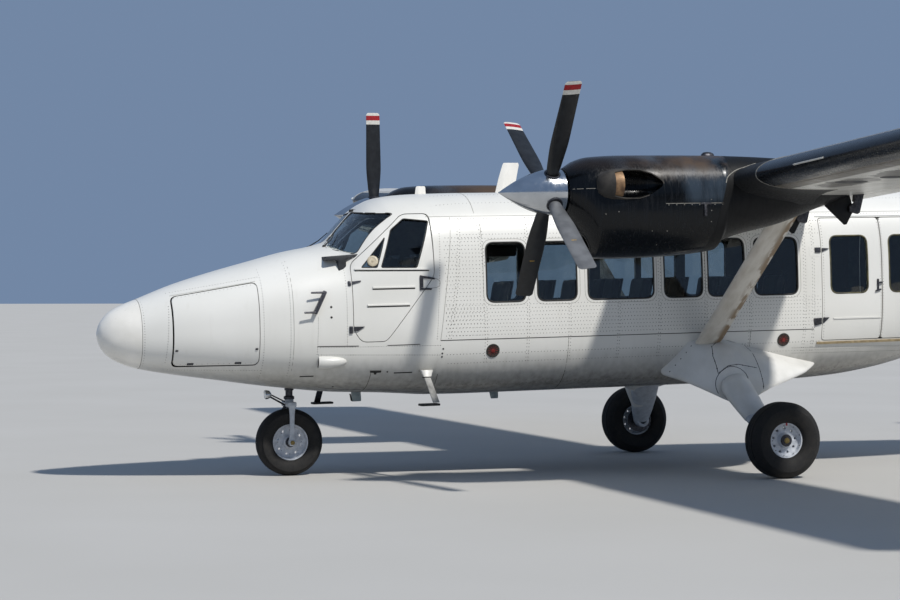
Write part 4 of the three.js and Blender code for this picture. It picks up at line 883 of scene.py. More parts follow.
def leaf(first, last, depth, outline, side=1, radius=45):
    """A door's skin, cut from the fuselage's"""
    return carve(shell(first, last, 0, depth), side_tool(grown(outline, -DOOR_GAP), side, radius), "INTERSECT")


def nose():
    radome = surface([section(station) for station in places(FUSELAGE, 0, RADOME_END, 22)])
    smooth_skin(piece("radome", radome, RADOME_ENAMEL, nodes=["nose_cone"]))
    skin = carve(shell(RADOME_END + TOUCH, NOSE_END), side_tool(NOSE_DOOR, 1, 60))
    skin_piece("nose_skin", skin, nodes=["nose_section"])
    skin_piece("nose_door_leaf", leaf(560, 1700, 22, NOSE_LEAF, radius=55), "nose_door", nodes=["nose_baggage_door"])
    piece("nose_bay_walls", [*bulkheads(600, 1682), deck(620, 1680, 1180, 1200)], LINING)


def windscreen(side, label):
    outline = [(side * y, z) for y, z in SCREEN]
    pane = carve(shell(2210, 2990, 8, 15), prism("front", grown(outline, 3), 2210, 2950, 40), "INTERSECT")
    piece(f"windscreen_pane_{label}", pane, ACRYLIC, nodes=[f"windscreen_{label}"])
    edge = rounded(grown(outline, 2), 40, 8)
    points = [(a[0] + (b[0] - a[0]) * k / 6, a[1] + (b[1] - a[1]) * k / 6)
              for a, b in zip(edge, edge[1:] + edge[:1]) for k in range(6 if dist(a, b) > 60 else 1)]
    seal = run([on_front(*point) for point in points[::-side]], DOOR_SEAL, closed=True)
    piece(f"windscreen_seal_{label}", seal, RUBBER, crease=50)


def cockpit():
    tools = [prism("front", [(side * y, z) for y, z in SCREEN], 2100, 2960, 40) for side, _ in SIDES]
    skin = shell(NOSE_END + TOUCH, COCKPIT_END)
    for tool in [*tools, *(side_tool(CREW_DOOR, side, 60) for side, _ in SIDES)]:
        skin = carve(skin, tool)
    skin_piece("cockpit_skin", skin, nodes=["cockpit_shell"])
    for side, label in SIDES:
        windscreen(side, label)
        body = f"crew_door_{label}"
        panes = [side_tool(SIDE_WINDOW, side, 20), side_tool(CORNER_WINDOW, side, 14)]
        skin_piece(f"{body}_leaf", carve(leaf(2200, 3238, 38, CREW_LEAF, side, 55), panes), body, nodes=[body])
        for name, outline, radius, nodes in (("side", SIDE_WINDOW, 20, [f"crew_door_glass_{label}"]),
                                             ("corner", CORNER_WINDOW, 14, [])):
            glazing(f"{body}_{name}", [outline], side, body, (2200, 3238), radius, nodes, DOOR_SEAL)


def cabin():
    tools = [side_tool(o, side, WINDOW_RADIUS) for side, _ in SIDES for o in window_outlines(side)]
    tools += [side_tool(rectangle(*REAR_DOOR), 1, 45), side_tool(rectangle(*RIGHT_DOOR), -1, 45)]
    skin_piece("cabin_skin", carve(shell(COCKPIT_END + TOUCH, CABIN_END), tools),
               nodes=["cabin_floor", "cabin_roof", "cabin_wall_left", "cabin_wall_right"])
    for side, label in SIDES:
        glazing(f"cabin_windows_{label}", window_outlines(side), side, "airframe", CABIN_RUN)
    for body, node, ends, window, side, top in CABIN_DOORS:
        opening = rectangle(*window, *DOOR_BAND)
        skin = leaf(7300, 8900, 40, rectangle(*ends, REAR_DOOR[2], top), side, 40)
        skin_piece(f"{node}_skin", carve(skin, side_tool(opening, side, WINDOW_RADIUS)), body, nodes=[node])
        glazing(f"{body}_window", [opening], side, body, (7300, 8900), finish=AGED_SEALANT)
    piece("floor_deck", deck(1900, CABIN_END, FLOOR_TOP - 40, FLOOR_TOP), MAT)


def tail():
    skin = carve(shell(CABIN_END + TOUCH, AFT_BAY_END), side_tool(AFT_DOOR, 1, 50))
    skin_piece("aft_skin", skin, nodes=["aft_bay"])
    skin_piece("aft_door_leaf", leaf(8960, 10440, 36, AFT_LEAF), "aft_door", nodes=["aft_baggage_door"])
    piece("aft_bay_walls", bulkheads(CABIN_END + 12, AFT_BAY_END - 30), LINING)


# Engines
ENGINE_Y = 2812
SHAFT_Z = 2796
PROP_STATION = 3654
# Cowl: columns are station, bottom, top, half width, roundness
NACELLE = [
    [3790, 2588, 3003, 206, 2.0],
    [3830, 2520, 3032, 248, 2.1],
    [3890, 2440, 3068, 296, 2.2],
    [4030, 2192, 3108, 360, 2.4],
    [4330, 2186, 3122, 396, 2.5],
    [4640, 2192, 3122, 400, 2.6],
    [5215, 2243, 3117, 396, 2.6],
    [5260, 2310, 3116, 392, 2.6],
    [5940, 2488, 3086, 330, 2.5],
    [6240, 2590, 3030, 245, 2.3],
    [6640, 2722, 2900, 90, 2.0],
]
COWL = curve_through(NACELLE)
INTAKE = [(ENGINE_Y - 165, 2262), (ENGINE_Y + 165, 2262), (ENGINE_Y + 165, 2400), (ENGINE_Y - 165, 2400)]
# Exhaust stub: columns are station, reach from the shaft, half width, half height
EXHAUST = [
    (3994, 335, 30, 34), (4004, 345, 60, 78), (4056, 358, 90, 116), (4130, 368, 108, 134), (4240, 374, 122, 141),
    (4380, 372, 124, 136), (4500, 360, 100, 104), (4600, 345, 60, 56), (4660, 335, 24, 20),
]
EXHAUST_Z = 2846
COWL_BODY = (COWL, ENGINE_Y)
EXHAUST_CUT = [(4112, 700), (4126, 428), (4610, 384), (4900, 384), (4900, 700)]
EXHAUST_PIPE = [(4060, 358, 80, 98), (4130, 366, 104, 120), (4206, 368, 112, 124)]
COWL_SCREWS = [(4503, 2424), (4649, 2421), (4570, 2300), (5080, 2700), (5080, 2600), (5080, 2500), (4180, 2600),
               (4063, 2581)]
COWL_DOME = [(5172, 0.3), (5180, 0.66), (5196, 0.9), (5225, 1), (5262, 0.95), (5288, 0.72), (5298, 0.3)]


def exhaust_rings(rows, side, inset):
    return [[at(station, ENGINE_Y + side * (reach + (wide - inset) * cos(turn)),
                EXHAUST_Z + (tall - inset) * sin(turn)) for turn in turns(40)]
            for station, reach, wide, tall in rows]


def cowls():
    cowl = surface([section(station, 0, COWL_BODY, 72) for station in places(NACELLE, 3790, 6640, 50)])
    cavities = [lofted(exhaust_rings(EXHAUST[2:], side, 8)) for side, _ in SIDES]
    cowl = carve(cowl, [prism("front", INTAKE, 3700, 4500, 60), *cavities])
    made = pair("cowl", cowl, COWL_ENAMEL, nodes=["nacelle", "nacelle_tail"])
    for one, (side, _) in zip(made, SIDES):
        smooth_skin(one, body=(COWL, side * ENGINE_Y))

    lip = lofted([section(station, -7, COWL_BODY, 72) for station in places(NACELLE, 3800, 4040, 20)])
    lip = carve(lip, prism("front", grown(INTAKE, 20), 3700, 4500, 75), "INTERSECT")
    lip = carve(lip, prism("front", INTAKE, 3600, 4600, 60))
    pair("intake_lip", softened(lip, 3), COWL_ENAMEL)
    wires = [(at(4440, ENGINE_Y - 160, z), at(4440, ENGINE_Y + 160, z)) for z in range(2272, 2400, 18)]
    wires += [(at(4446, ENGINE_Y + y, 2262), at(4446, ENGINE_Y + y, 2400)) for y in range(-144, 160, 36)]
    pair("intake_screen", [rod(*ends, 3, sides=6) for ends in wires], STEEL)


def exhausts():
    stubs, pipes = [], []
    for side, _ in SIDES:
        stub = carve(lofted(exhaust_rings(EXHAUST, side, 0)), lofted(exhaust_rings(EXHAUST[2:], side, 8)))
        beyond = [(station, ENGINE_Y + side * reach) for station, reach in EXHAUST_CUT]
        stubs.append(carve(stub, prism("plan", beyond, 2600, 3100)))
        outer, inner = exhaust_rings(EXHAUST_PIPE, side, 2), exhaust_rings(EXHAUST_PIPE, side, 9)
        pipes.append(lofted([*outer, *inner[::-1], outer[0]]))
    pair("exhaust_stubs", stubs, SOOTED, crease=40)
    pair("exhaust_pipes", pipes, HOT_STEEL, crease=50)


def cowl_fittings():
    laps = [run([on_side(s, z, side, 0, COWL_BODY) for s in steps(first, last, 60)], flat_bar(5, 0.9))
            for side, _ in SIDES for first, last, z in ((4632, 5196, 2668), (3806, 3984, 2812))]
    pair("cowl_laps", laps, SEALANT, slot="nacelle_paint")
    joints = [run([on_side(5120 + (z - 2330) * 0.2, z, side, 0, COWL_BODY) for z in steps(2330, 2990, 30)],
                  flat_bar(9, 1.4)) for side, _ in SIDES]
    joints.append(run(round_body(3803, 0, 355, 0.5, COWL_BODY), flat_bar(7, 2), closed=True))
    pair("cowl_joints", joints, COWL_ENAMEL, crease=60)
    screws = [[on_side(*spot, side, 0, COWL_BODY) for side, _ in SIDES for spot in COWL_SCREWS]]
    screws += [[on_side(s, 2655, side, 0, COWL_BODY) for s in steps(4660, 5190, 75)] for side, _ in SIDES]
    pair("cowl_screws", rivets(screws, 6, 1.5, 8), SEALANT, slot="nacelle_paint")
    dome = lofted([[at(station, ENGINE_Y + 46 * size * cos(turn), 3106 + 48 * size * sin(turn))
                    for turn in turns(24)] for station, size in COWL_DOME])
    drain = [softened(block(stations, (ENGINE_Y + 384, ENGINE_Y + 410), zs), 4)
             for stations, zs in (((4970, 5075), (2655, 2671)), ((5004, 5032), (2548, 2654)))]
    pair("cowl_vents", [dome, *drain], STEEL, slot="nacelle_paint")
    edge = smoothed([Vector(spot) for spot in ((5236, 2850), (5262, 2905), (5350, 2962), (5460, 2995), (5590, 3030))])
    pair("root_paint_edge", run([on_side(*spot, 1, 0, COWL_BODY) for spot in edge], flat_bar(8, 1.4)), SEALANT,
         slot="nacelle_paint")


# Propellers: columns are radius, chord, thickness, pitch
BLADE = [(120, 112, 96, 90), (215, 118, 88, 89), (300, 140, 58, 88), (560, 178, 32, 86), (900, 172, 18, 84),
         (1165, 166, 9, 83)]
BLADE_TIP = 1165
BANDS = [(32, 1), (86, 2), (132, 1)]
INDEX_MARK = (753, 761)
SPINNER_LENGTH = 476
SPINNER_RADIUS = 205


def blade(angle):
    """A feathered blade, its finishes numbered from the root to the bands at its tip"""
    shape = curve_through(BLADE)
    first, last = INDEX_MARK
    radii = [120, 150, 180, 215, 250, 280, *steps(310, first, 44), *steps(last, 1000, 48),
             *(BLADE_TIP - depth for depth, _ in BANDS[::-1]), *(BLADE_TIP - depth for depth in (24, 14, 7, 2, 0))]
    rings = []
    for radius in radii:
        chord, thick, pitch = shape(radius)
        near_tip = max(0.0, 1 - (BLADE_TIP - radius) / 32)
        chord *= 1 - 0.3 * near_tip ** 2.5
        thick *= 1 - 0.6 * near_tip ** 2
        feather = radians(pitch)
        ring = []
        for turn in turns(24):
            broad = chord / 2 * cos(turn)
            across = thick / 2 * sin(turn) * (1 + 0.3 * cos(turn) * min(1, (radius - 120) / 300))
            ring.append(Vector((broad * sin(feather) - across * cos(feather),
                                broad * cos(feather) + across * sin(feather), radius)))
        rings.append(ring)
    bm = lofted(rings)
    for face in bm.faces:
        middle = face.calc_center_median()
        if face.normal.y > 0:
            face.material_index = next((number for reach, number in BANDS if BLADE_TIP - middle.z < reach), 0)
        elif first < middle.z < last and abs(middle.x) < 26:
            face.material_index = 3
    bm.transform(Matrix.Rotation(-angle, 4, "X"))
    return bm


def around(count, reach, radius):
    """Places round the shaft, with the way out at each"""
    outs = [Vector((0, sin(turn), cos(turn))) for turn in turns(count)]
    return [(Vector((reach, radius * out.y, radius * out.z)), out) for out in outs]


def shaft_turned(profile, sides=40):
    return turned(profile, (0, 0, 0), (1, 0, 0), sides)


def propeller(label, side, first_angle, worn=None):
    """Four blades from the first one's angle, one of them greyed with painted sun sheen over its wear, on a hub in a
    polished spinner
    """
    place = AIR @ Matrix.Translation(at(PROP_STATION, side * ENGINE_Y, SHAFT_Z))
    body = f"propeller_{label}"
    angles = [radians(first_angle + 90 * i) for i in range(4)]
    outs = [Vector((0, sin(angle), cos(angle))) for angle in angles]
    for i, angle in enumerate(angles):
        # The blade numbered worn is painted grey for the sun's sheen on it
        paint = SHEEN_AND_WEAR_PAINT if i == worn else BLADE_PAINT
        piece(f"blade_{label}_{i + 1}", blade(angle), [paint, BAND_WHITE, BAND_RED, INDEX_YELLOW], body, place=place,
              crease=40, nodes=[] if i else [f"blades_{label}"])
    hub = shaft_turned([(0, -92), (120, -92), (150, -60), (150, 60), (120, 92), (0, 92)])
    collars = [turned([(60, 150), (74, 150), (74, 200), (68, 206), (60, 206)], (0, 0, 0), out, 28) for out in outs]
    piece(f"hub_{label}", [hub, *collars], STEEL, body, "blade_paint", place)

    curve = [(SPINNER_RADIUS * (1 - share ** 1.6), SPINNER_LENGTH * share) for share in steps(0, 1, 0.04)]
    rim = [(0, -118), (SPINNER_RADIUS - 5, -118), (SPINNER_RADIUS, -113)]
    cone = shaft_turned([*rim, *curve[:-1], (6, SPINNER_LENGTH - 3), (0, SPINNER_LENGTH)], 72)
    cone = carve(cone, shaft_turned([(0, -100), (198, -100), (198, 0), (180, 90), (0, 90)], 48))
    for out in outs:
        cone = carve(cone, rod(out * 150, out * 300, 75, sides=36))
    piece(f"spinner_{label}", cone, POLISHED, body, place=place, nodes=[f"spinner_{label}"])
    screws = rivets([around(24, reach, SPINNER_RADIUS) for reach in (-98, -6)], 4.5, 1.2, 8)
    piece(f"spinner_screws_{label}", screws, STEEL, body, "spinner_metal", place)


# Wing
WING_ROOT = 420
HALF_SPAN = 9905
CHORD = 1980
WING_LE = 5350
WING_Z = 2725
DIHEDRAL = radians(3)
INCIDENCE = radians(2.5)
WING_THICKNESS = 0.16
WING_CAMBER = 0.02
WING_RINGS = [(WING_ROOT, 1), (9775, 1), (9830, 0.985), (9875, 0.94), (HALF_SPAN, 0.82)]
FLAP_SPAN = (950, 6000)
FLAP_STATION = 6730
AILERON_SPAN = (6016, 9638)
AILERON_HINGE = 6950
FLAP_PIVOT = (6705, 205)
WING_FAR = 9000
WING_HEIGHTS = (2000, 4000)
BOOT_REACH = (0.085, 0.11)
ROOT_COVER = (0.26, 0.44)
# Dark oval plates under the wing: share of the chord, place along the span, half size along the chord and along the
# span
DARK_UNDER_PLATES = [(0.30, 4230, 150, 105), (0.40, 4660, 150, 105), (0.34, 5900, 120, 90), (0.34, 7600, 120, 90),
               (0.34, 1700, 120, 90)]
FLAP_ARMS = (1750, ENGINE_Y, 4250, 5600)
PLATE = 26
FLAP_ARM = [(6681, -20), (6700, -30), (6770, -48), (6790, -36), (6850, 160), (6745, 175), (6735, 60), (6681, 26)]
FLAP_BRACKET = [(6640, -146), (6660, -142), (6731, -24), (6723, 60), (6690, 175), (6480, 175), (6444, 36)]


def foil(share, thickness, camber, over):
    """Height of an aerofoil's upper or lower side at a share of its chord, as a share of it"""
    half = 5 * thickness * (0.2969 * sqrt(share) - 0.126 * share - 0.3516 * share ** 2 + 0.2843 * share ** 3
                            - 0.1015 * share ** 4)
    crest = 0.4
    mean = (camber / crest ** 2 * (2 * crest * share - share ** 2) if share < crest
            else camber / (1 - crest) ** 2 * (1 - 2 * crest + 2 * crest * share - share ** 2))
    return mean + (half + 0.001 * share) * (1 if over else -1)


def aerofoil(thickness, camber, count=36):
    """Outline from the trailing edge over the top to the nose and back below"""
    shares = [0.5 * (1 + cos(i / count * pi)) for i in range(count + 1)]
    top = [(share, foil(share, thickness, camber, True)) for share in shares]
    return top + [(share, foil(share, thickness, camber, False)) for share in reversed(shares[:-1])]


def wing_place(share, height, y):
    """A place of the wing by shares of its chord"""
    back, up = share * CHORD, height * CHORD
    return at(WING_LE + back * cos(INCIDENCE) + up * sin(INCIDENCE), y,
              WING_Z + y * tan(DIHEDRAL) - back * sin(INCIDENCE) + up * cos(INCIDENCE))


def wing_ring(y, margin, scale=1):
    stretch = (1 + 2 * margin / CHORD) * scale
    swelling = (1 + 2 * margin / (WING_THICKNESS * CHORD)) * scale
    return [wing_place((share - 0.4) * stretch + 0.4, (height - 0.02) * swelling + 0.02, y)
            for share, height in aerofoil(WING_THICKNESS, WING_CAMBER)]


def wing_z(station, y):
    return WING_Z + y * tan(DIHEDRAL) - (station - WING_LE) * tan(INCIDENCE)


def on_wing(share, y, over=False, lift=0.0):
    """A place on the wing's skin and the way out there"""
    here = wing_place(share, foil(share, WING_THICKNESS, WING_CAMBER, over), y)
    ahead = wing_place(share - 0.004, foil(max(share - 0.004, 0), WING_THICKNESS, WING_CAMBER, over), y)
    out = (ahead - here).cross(Vector((0, 1, tan(DIHEDRAL)))).normalized()
    out = out if (out.z > 0) == over else -out
    return here + out * lift, out


def wing_strip(y, reaches, outer, inner):
    """A thin ring round the leading edge back to shares of the chord above and below"""
    outline = aerofoil(WING_THICKNESS, WING_CAMBER)
    middle = len(outline) // 2
    kept = [i for i, (share, _) in enumerate(outline) if share <= reaches[i > middle]]
    return [wing_ring(y, outer)[i] for i in kept] + [wing_ring(y, inner)[i] for i in reversed(kept)]


def strip_edge(y, reaches, lift, profile):
    """A bead round the leading edge, along the end of a boot or cover"""
    ring, off = wing_strip(y, reaches, lift, lift), wing_strip(y, reaches, 13, 13)
    half = len(ring) // 2
    return run([(a, (b - a).normalized()) for a, b in zip(ring[:half], off[:half])], profile)


def root_ring(y, margin):
    """A ring of the black cover at the wing root, which stands off the leading edge and thins out over the top"""
    outline = aerofoil(WING_THICKNESS, WING_CAMBER)
    middle = len(outline) // 2
    kept = [i for i, (share, _) in enumerate(outline) if share <= ROOT_COVER[i > middle]]
    wide, thin, inner = wing_ring(y, margin), wing_ring(y, 2), wing_ring(y, -6)
    outer = [wide[i].lerp(thin[i], min(1, outline[i][0] / 0.05)) if i < middle else wide[i] for i in kept]
    return outer + [inner[i] for i in reversed(kept)]


def flap_plate(y, outline, inner):
    """A bracket plate under the wing, its outline about the flap's pivot"""
    station, drop = FLAP_PIVOT
    bm = prism("side", outline, inner, inner + PLATE)
    bm.transform(Matrix.Translation((0, y, wing_z(station, y) - drop)) @ Matrix.Rotation(DIHEDRAL, 4, "X"))
    return softened(bm, 3)


def slot_tool(corners, span):
    """A groove across the wing, its corners being stations and heights from the chord line"""
    return lofted([[at(station, y, wing_z(station, y) + z) for station, z in corners] for y in span])


def wing_panels():
    whole = lofted([wing_ring(y, 0, scale) for y, scale in WING_RINGS])
    flap = carve(whole.copy(), block((FLAP_STATION, WING_FAR), FLAP_SPAN, WING_HEIGHTS), "INTERSECT")
    slot = [(6905, -300), (6919, -300), (6935, -2), (6921, -2)]
    flap = carve(flap, slot_tool(slot, (FLAP_SPAN[0] + 30, FLAP_SPAN[1] - 30)))
    inner, outer = AILERON_SPAN
    hinge = [at(AILERON_HINGE, y, wing_z(AILERON_HINGE, y) + 18) for y in AILERON_SPAN]
    aileron = carve(whole.copy(), block((AILERON_HINGE, WING_FAR), AILERON_SPAN, WING_HEIGHTS), "INTERSECT")
    aileron = carve(aileron, rod(*hinge, 76, sides=32), "UNION")
    aileron = carve(aileron, slot_tool([(7190, -300), (7194, -300), (7194, 300), (7190, 300)], (6600, 7700)))
    wing = carve(whole, block((FLAP_STATION - 10, WING_FAR), (FLAP_SPAN[0] - 10, FLAP_SPAN[1] + 8), WING_HEIGHTS))
    wing = carve(wing, block((AILERON_HINGE - 6, WING_FAR), (inner - 7, outer + 10), WING_HEIGHTS))
    line = (hinge[1] - hinge[0]).normalized()
    wing = carve(wing, rod(hinge[0] - line * 8, hinge[1] + line * 8, 84, sides=32))
    pair("wing_skin", wing, WING_ENAMEL, nodes=["wing"], crease=30)
    for name, bm in (("flap", flap), ("aileron", aileron)):
        pair(f"{name}_skin", bm, WING_ENAMEL, (f"{name}_left", f"{name}_right"), [name], crease=30)


def flap_hangers():
    arms, brackets = [], []
    for y in FLAP_ARMS:
        arms.append(flap_plate(y, FLAP_ARM, 0.4))
        brackets.append(flap_plate(y, FLAP_BRACKET, -PLATE))
        pivot = at(FLAP_PIVOT[0], y, wing_z(FLAP_PIVOT[0], y) - FLAP_PIVOT[1])
        brackets.append(rod(pivot - Vector((0, 34, 0)), pivot - Vector((0, 24, 0)), 16, sides=6))
        foot = pivot + Vector((-38, -16, 70))
        brackets.append(rod(foot, foot + Vector((-26, 0, 262)) * 0.45, 9))
    pair("flap_arms", arms, STEEL, ("flap_left", "flap_right"))
    pair("flap_brackets", brackets, COWL_ENAMEL)


def wing_covers():
    boots, edges = [], []
    for first, last in ((3575, 9690), (1000, 2350)):
        boots.append(lofted([wing_strip(y, BOOT_REACH, 3, -4) for y in steps(first, last, 500)]))
        edges += [strip_edge(end, BOOT_REACH, 3.2, flat_bar(9, 1.6)) for end in (first, last)]
        edges += [run([on_wing(share, y, over) for y in steps(first, last, 250)], flat_bar(9, 1.6))
                  for share, over in ((0.088, True), (0.113, False))]
    root = lofted([root_ring(y, margin) for y, margin in (
        (3562, 2), (3448, 3), (3360, 6), (3280, 15), (3220, 29), (3160, 52), (3100, 92))])
    pair("root_paint", root, MATT_BLACK, crease=50)
    edges.append(strip_edge(3564, ROOT_COVER, 2.5, flat_bar(10, 1.8)))
    pair("wing_boots", boots, BOOT, crease=50)
    pair("boot_edges", edges, SEALANT)
    stall = run([(wing_place(-0.003, 0.0, y), Vector((1, 0, 0))) for y in steps(4300, 4834, 100)],
                [(-9, -8), (9, -8), (3, 6), (-3, 6)])
    pair("stall_strips", stall, BAND_WHITE)
    covers = [lofted([[on_wing(share + wide * cos(turn) / CHORD, y + deep * sin(turn), False, lift)[0]
                       for turn in turns(32)] for lift in (-3, 1.6)]) for share, y, wide, deep in DARK_UNDER_PLATES]
    pair("dark_under_plates", covers, PANEL_PAINT)
    rows = [[on_wing(share, y) for y in steps(3300, 9700, 45)] for share in (0.135, 0.24, 0.37, 0.5, 0.66)]
    rows += [[on_wing(share, y) for share in steps(0.14, 0.66, 0.023)] for y in steps(3500, 9700, 413)]
    rows += [[on_wing(share, y, True) for y in steps(1000, 9700, 60)] for share in (0.12, 0.35, 0.6)]
    pair("wing_rivets", rivets(rows, 4.0, 0.8), RIVET_DIRT_AND_SHADE)
    lamp = wing_place(0.02, 0.01, HALF_SPAN - 20)
    pair("tip_lights", turned([(0, -34), (18, -34), (24, -10), (20, 14), (8, 30), (0, 33)], lamp, (1, 0, 0), 20), LAMP)


# Strut
STRUT = {"station": 6092, "low": (880, 1308), "high": (2985, 2790), "chord": 278}
STRUT_SECTION = aerofoil(0.23, 0, 20)


def strut_rings(first, last, margin):
    low, high = (at(STRUT["station"], *STRUT[end]) for end in ("low", "high"))
    axis = (high - low).normalized()
    rings = []
    for reach in steps(first, last, 250):
        middle = low + axis * reach
        rings.append([middle + Vector(((0.5 - share) * (STRUT["chord"] + 2 * margin),
                                       -height * (STRUT["chord"] + 8 * margin) * axis.z,
                                       height * (STRUT["chord"] + 8 * margin) * axis.y))
                      for share, height in STRUT_SECTION])
    return rings


def struts():
    length = (Vector(STRUT["high"]) - Vector(STRUT["low"])).length
    pair("strut", lofted(strut_rings(0, length, 0)), STRUT_ENAMEL, nodes=["wing_strut"], crease=40)
    cuffs = [lofted(strut_rings(first, last, 3.5)) for first, last in ((30, 330), (length - 330, length - 40))]
    pair("strut_cuffs", cuffs, STRUT_ENAMEL, crease=40)


# Gear fairing: columns are root station, root z, outer station, outer z
FAIRING = [
    [5620, 1010, 6040, 790],
    [5880, 1400, 6090, 1020],
    [6300, 1400, 6260, 1050],
    [6800, 1240, 6440, 970],
    [7450, 1060, 6560, 860],
    [6900, 900, 6500, 780],
    [6150, 880, 6200, 722],
]
# Columns are how far out the fairing's outline is, and its share of the way from the root's shape to the outer one
FAIRING_LEVELS = [(700, 0), (780, 0.07), (860, 0.15), (920, 0.215), (985, 0.28), (1050, 0.43), (1110, 0.6),
                  (1160, 0.76), (1195, 0.89), (1210, 0.96), (1215, 1)]
# Main leg in the ground frame: its top and foot, then share of the way down, half width, half thickness
WHEEL_Y = 1855
WHEEL_RADIUS = 376
LEG_TOP = Vector((205, 1010, 985))
LEG_FOOT = Vector((0, 1655, 376))
LEG = [(0, 165, 84), (0.35, 160, 80), (0.8, 118, 66), (1, 86, 58)]
BOOT_TOP = Vector((262, 1196, 985))
LEG_BOOT = [(0, 20, 10), (0.015, 70, 36), (0.06, 118, 62), (0.14, 152, 80), (0.26, 168, 88), (0.45, 166, 86),
            (0.75, 150, 80), (0.97, 137, 77), (1, 132, 73)]
BRAKE_PIPE = [(-60, 1720, 430), (-90, 1690, 470), (-20, 1630, 470), (30, 1540, 520), (70, 1440, 620), (110, 1330, 730)]


def fairing_solid():
    root = rounded([(row[0], row[1]) for row in FAIRING], 90, 5)
    outer = rounded([(row[2], row[3]) for row in FAIRING], 50, 5)
    rings = [[at(a[0] + (b[0] - a[0]) * share, y, a[1] + (b[1] - a[1]) * share) for a, b in zip(root, outer)]
             for y, share in FAIRING_LEVELS]
    return lofted(rings)


def ovals(top, low, rows):
    """Rings between two places: rows are share of the way down, half width along the aircraft and half thickness"""
    down = (low - top).normalized()
    across = (Vector((1, 0, 0)) - down * down.x).normalized()
    up = down.cross(across)
    return [[top.lerp(low, share) + across * wide * cos(turn) + up * thick * sin(turn) for turn in turns(40)]
            for share, wide, thick in rows]


def laid_on(bm, outline, pitch=25):
    """Places on a port mesh seen from port, under a line of (station, z) corners, with the way out at each"""
    tree = BVHTree.FromBMesh(bm)
    hits = [tree.ray_cast(at(station, 3000, z), Vector((0, -1, 0)))[:2] for station, z in along(outline, pitch)]
    return [(place, normal if normal.y > 0 else -normal) for place, normal in hits if place]


def fairings():
    bm = fairing_solid()
    panel = [(6238, 1349), (6090, 1290), (6054, 1193), (6060, 1022), (6180, 1095), (6296, 1105), (6542, 1056)]
    lower = [(6300, 1352), (6400, 1320), (6541, 1300), (6556, 823)]
    boss = [(6210 + 182 * cos(a), 905 + 182 * sin(a)) for a in (radians(d) for d in range(10, 215, 12))]
    lines = [laid_on(bm, line) for line in (panel, lower, boss)]
    seams = [run(path, flat_bar(7, 0.9)) for path in lines]
    heads = [path[::3] for path in lines[:2]]
    front = laid_on(bm, [(5700, 1040), (5960, 1360)], 75)
    pair("fairing_seams", seams, STEEL, crease=60)
    pair("fairing_screws", rivets([*heads, front], 10, 1.8, 8), RUBBER, slot="engine_metal")
    pair("fairing_skin", bm, FAIRING_ENAMEL, nodes=["gear_fairing"], crease=28)


def legs():
    shape = curve_through(LEG)
    shank = lofted(ovals(LEG_TOP, LEG_FOOT, [(share, *shape(share)) for share in steps(0.0, 1, 0.1)]))
    axle = rod(Vector((0, 1590, WHEEL_RADIUS)), Vector((0, WHEEL_Y + 95, WHEEL_RADIUS)), 40, sides=32)
    knuckle = turned([(0, -50), (66, -50), (74, -42), (74, 40), (66, 50), (0, 50)],
                     Vector((0, 1640, WHEEL_RADIUS)), (0, 1, 0), 40)
    boot = lofted(ovals(BOOT_TOP, LEG_TOP.lerp(LEG_FOOT, 0.64), LEG_BOOT))
    pair("leg_boot", boot, FAIRING_ENAMEL, place=GROUND)
    pair("leg_shank", [shank, knuckle], LEG_ENAMEL, nodes=["main_leg"], place=GROUND)
    calipers = [softened(ground_block((-150, -60), (1722, 1758), (300, 452)), 8),
                softened(ground_block((-70, 40), (1700, 1728), (322, 430)), 10)]
    pair("brakes", [axle, *calipers], STEEL, slot="gear_paint", place=GROUND)
    path = [(place, Vector((1, 0, 0.2)).normalized()) for place in smoothed([Vector(place) for place in BRAKE_PIPE])]
    pair("brake_pipes", run(path, round_bar(7)), STEEL, place=GROUND)


# Wheels: radius, width, radius of the rim, grooves of the tread, holes round the rim
MAIN_WHEEL = {"radius": 376, "width": 285, "rim": 172, "grooves": (-62, -21, 21, 62), "holes": 9}
NOSE_WHEEL = {"radius": 334, "width": 220, "rim": 180, "grooves": (-38, 0, 38), "holes": 8}


def tyre(centre, radius, width, rim, grooves, **_):
    """A tyre about an axle along Y: bead, bulging side, shoulder and a grooved tread"""
    half = width / 2
    side = [(rim + 1, half * 0.60), (rim + 12, half * 0.72), (rim + 34, half * 0.86), ((rim + radius) / 2, half),
            ((rim + radius) / 2 + 34, half * 0.985), (radius - 52, half * 0.90), (radius - 28, half * 0.78),
            (radius - 10, half * 0.60), (radius - 3, half * 0.46)]
    tread = []
    for middle in sorted(grooves, reverse=True):
        crown = radius - 3 * abs(middle) / half
        tread += [(crown, middle + 5), (crown - 8, middle + 4), (crown - 8, middle - 4), (crown, middle - 5)]
    profile = side + tread + [(r, -y) for r, y in reversed(side)]
    return turned(profile, centre, (0, 1, 0), 96)


def wheel_disc(centre, width, rim, bore, holes, **_):
    """A wheel with a flange at each side, a dished web with round holes, and a hub"""
    half = width / 2
    outer = [(bore, half * 0.55), (58, half * 0.55), (66, half * 0.50), (74, half * 0.26), (rim - 48, half * 0.22),
             (rim - 22, half * 0.30), (rim - 14, half * 0.52), (rim - 10, half * 0.58), (rim, half * 0.60)]
    inner = [(rim, -half * 0.60), (rim - 10, -half * 0.58), (rim - 16, -half * 0.5), (rim - 20, -half * 0.1),
             (rim - 50, half * 0.02), (74, half * 0.02), (66, -half * 0.3), (bore, -half * 0.4)]
    disc = turned(outer + inner, centre, (0, 1, 0), 72)
    reach = (74 + rim - 24) / 2 + 8
    drills = []
    for i in range(holes):
        turn = (i + 0.3) / holes * tau
        place = centre + Vector((reach * cos(turn), 0, reach * sin(turn)))
        drills.append(rod(place - Vector((0, half, 0)), place + Vector((0, half, 0)), 13, sides=12))
    return carve(disc, drills)


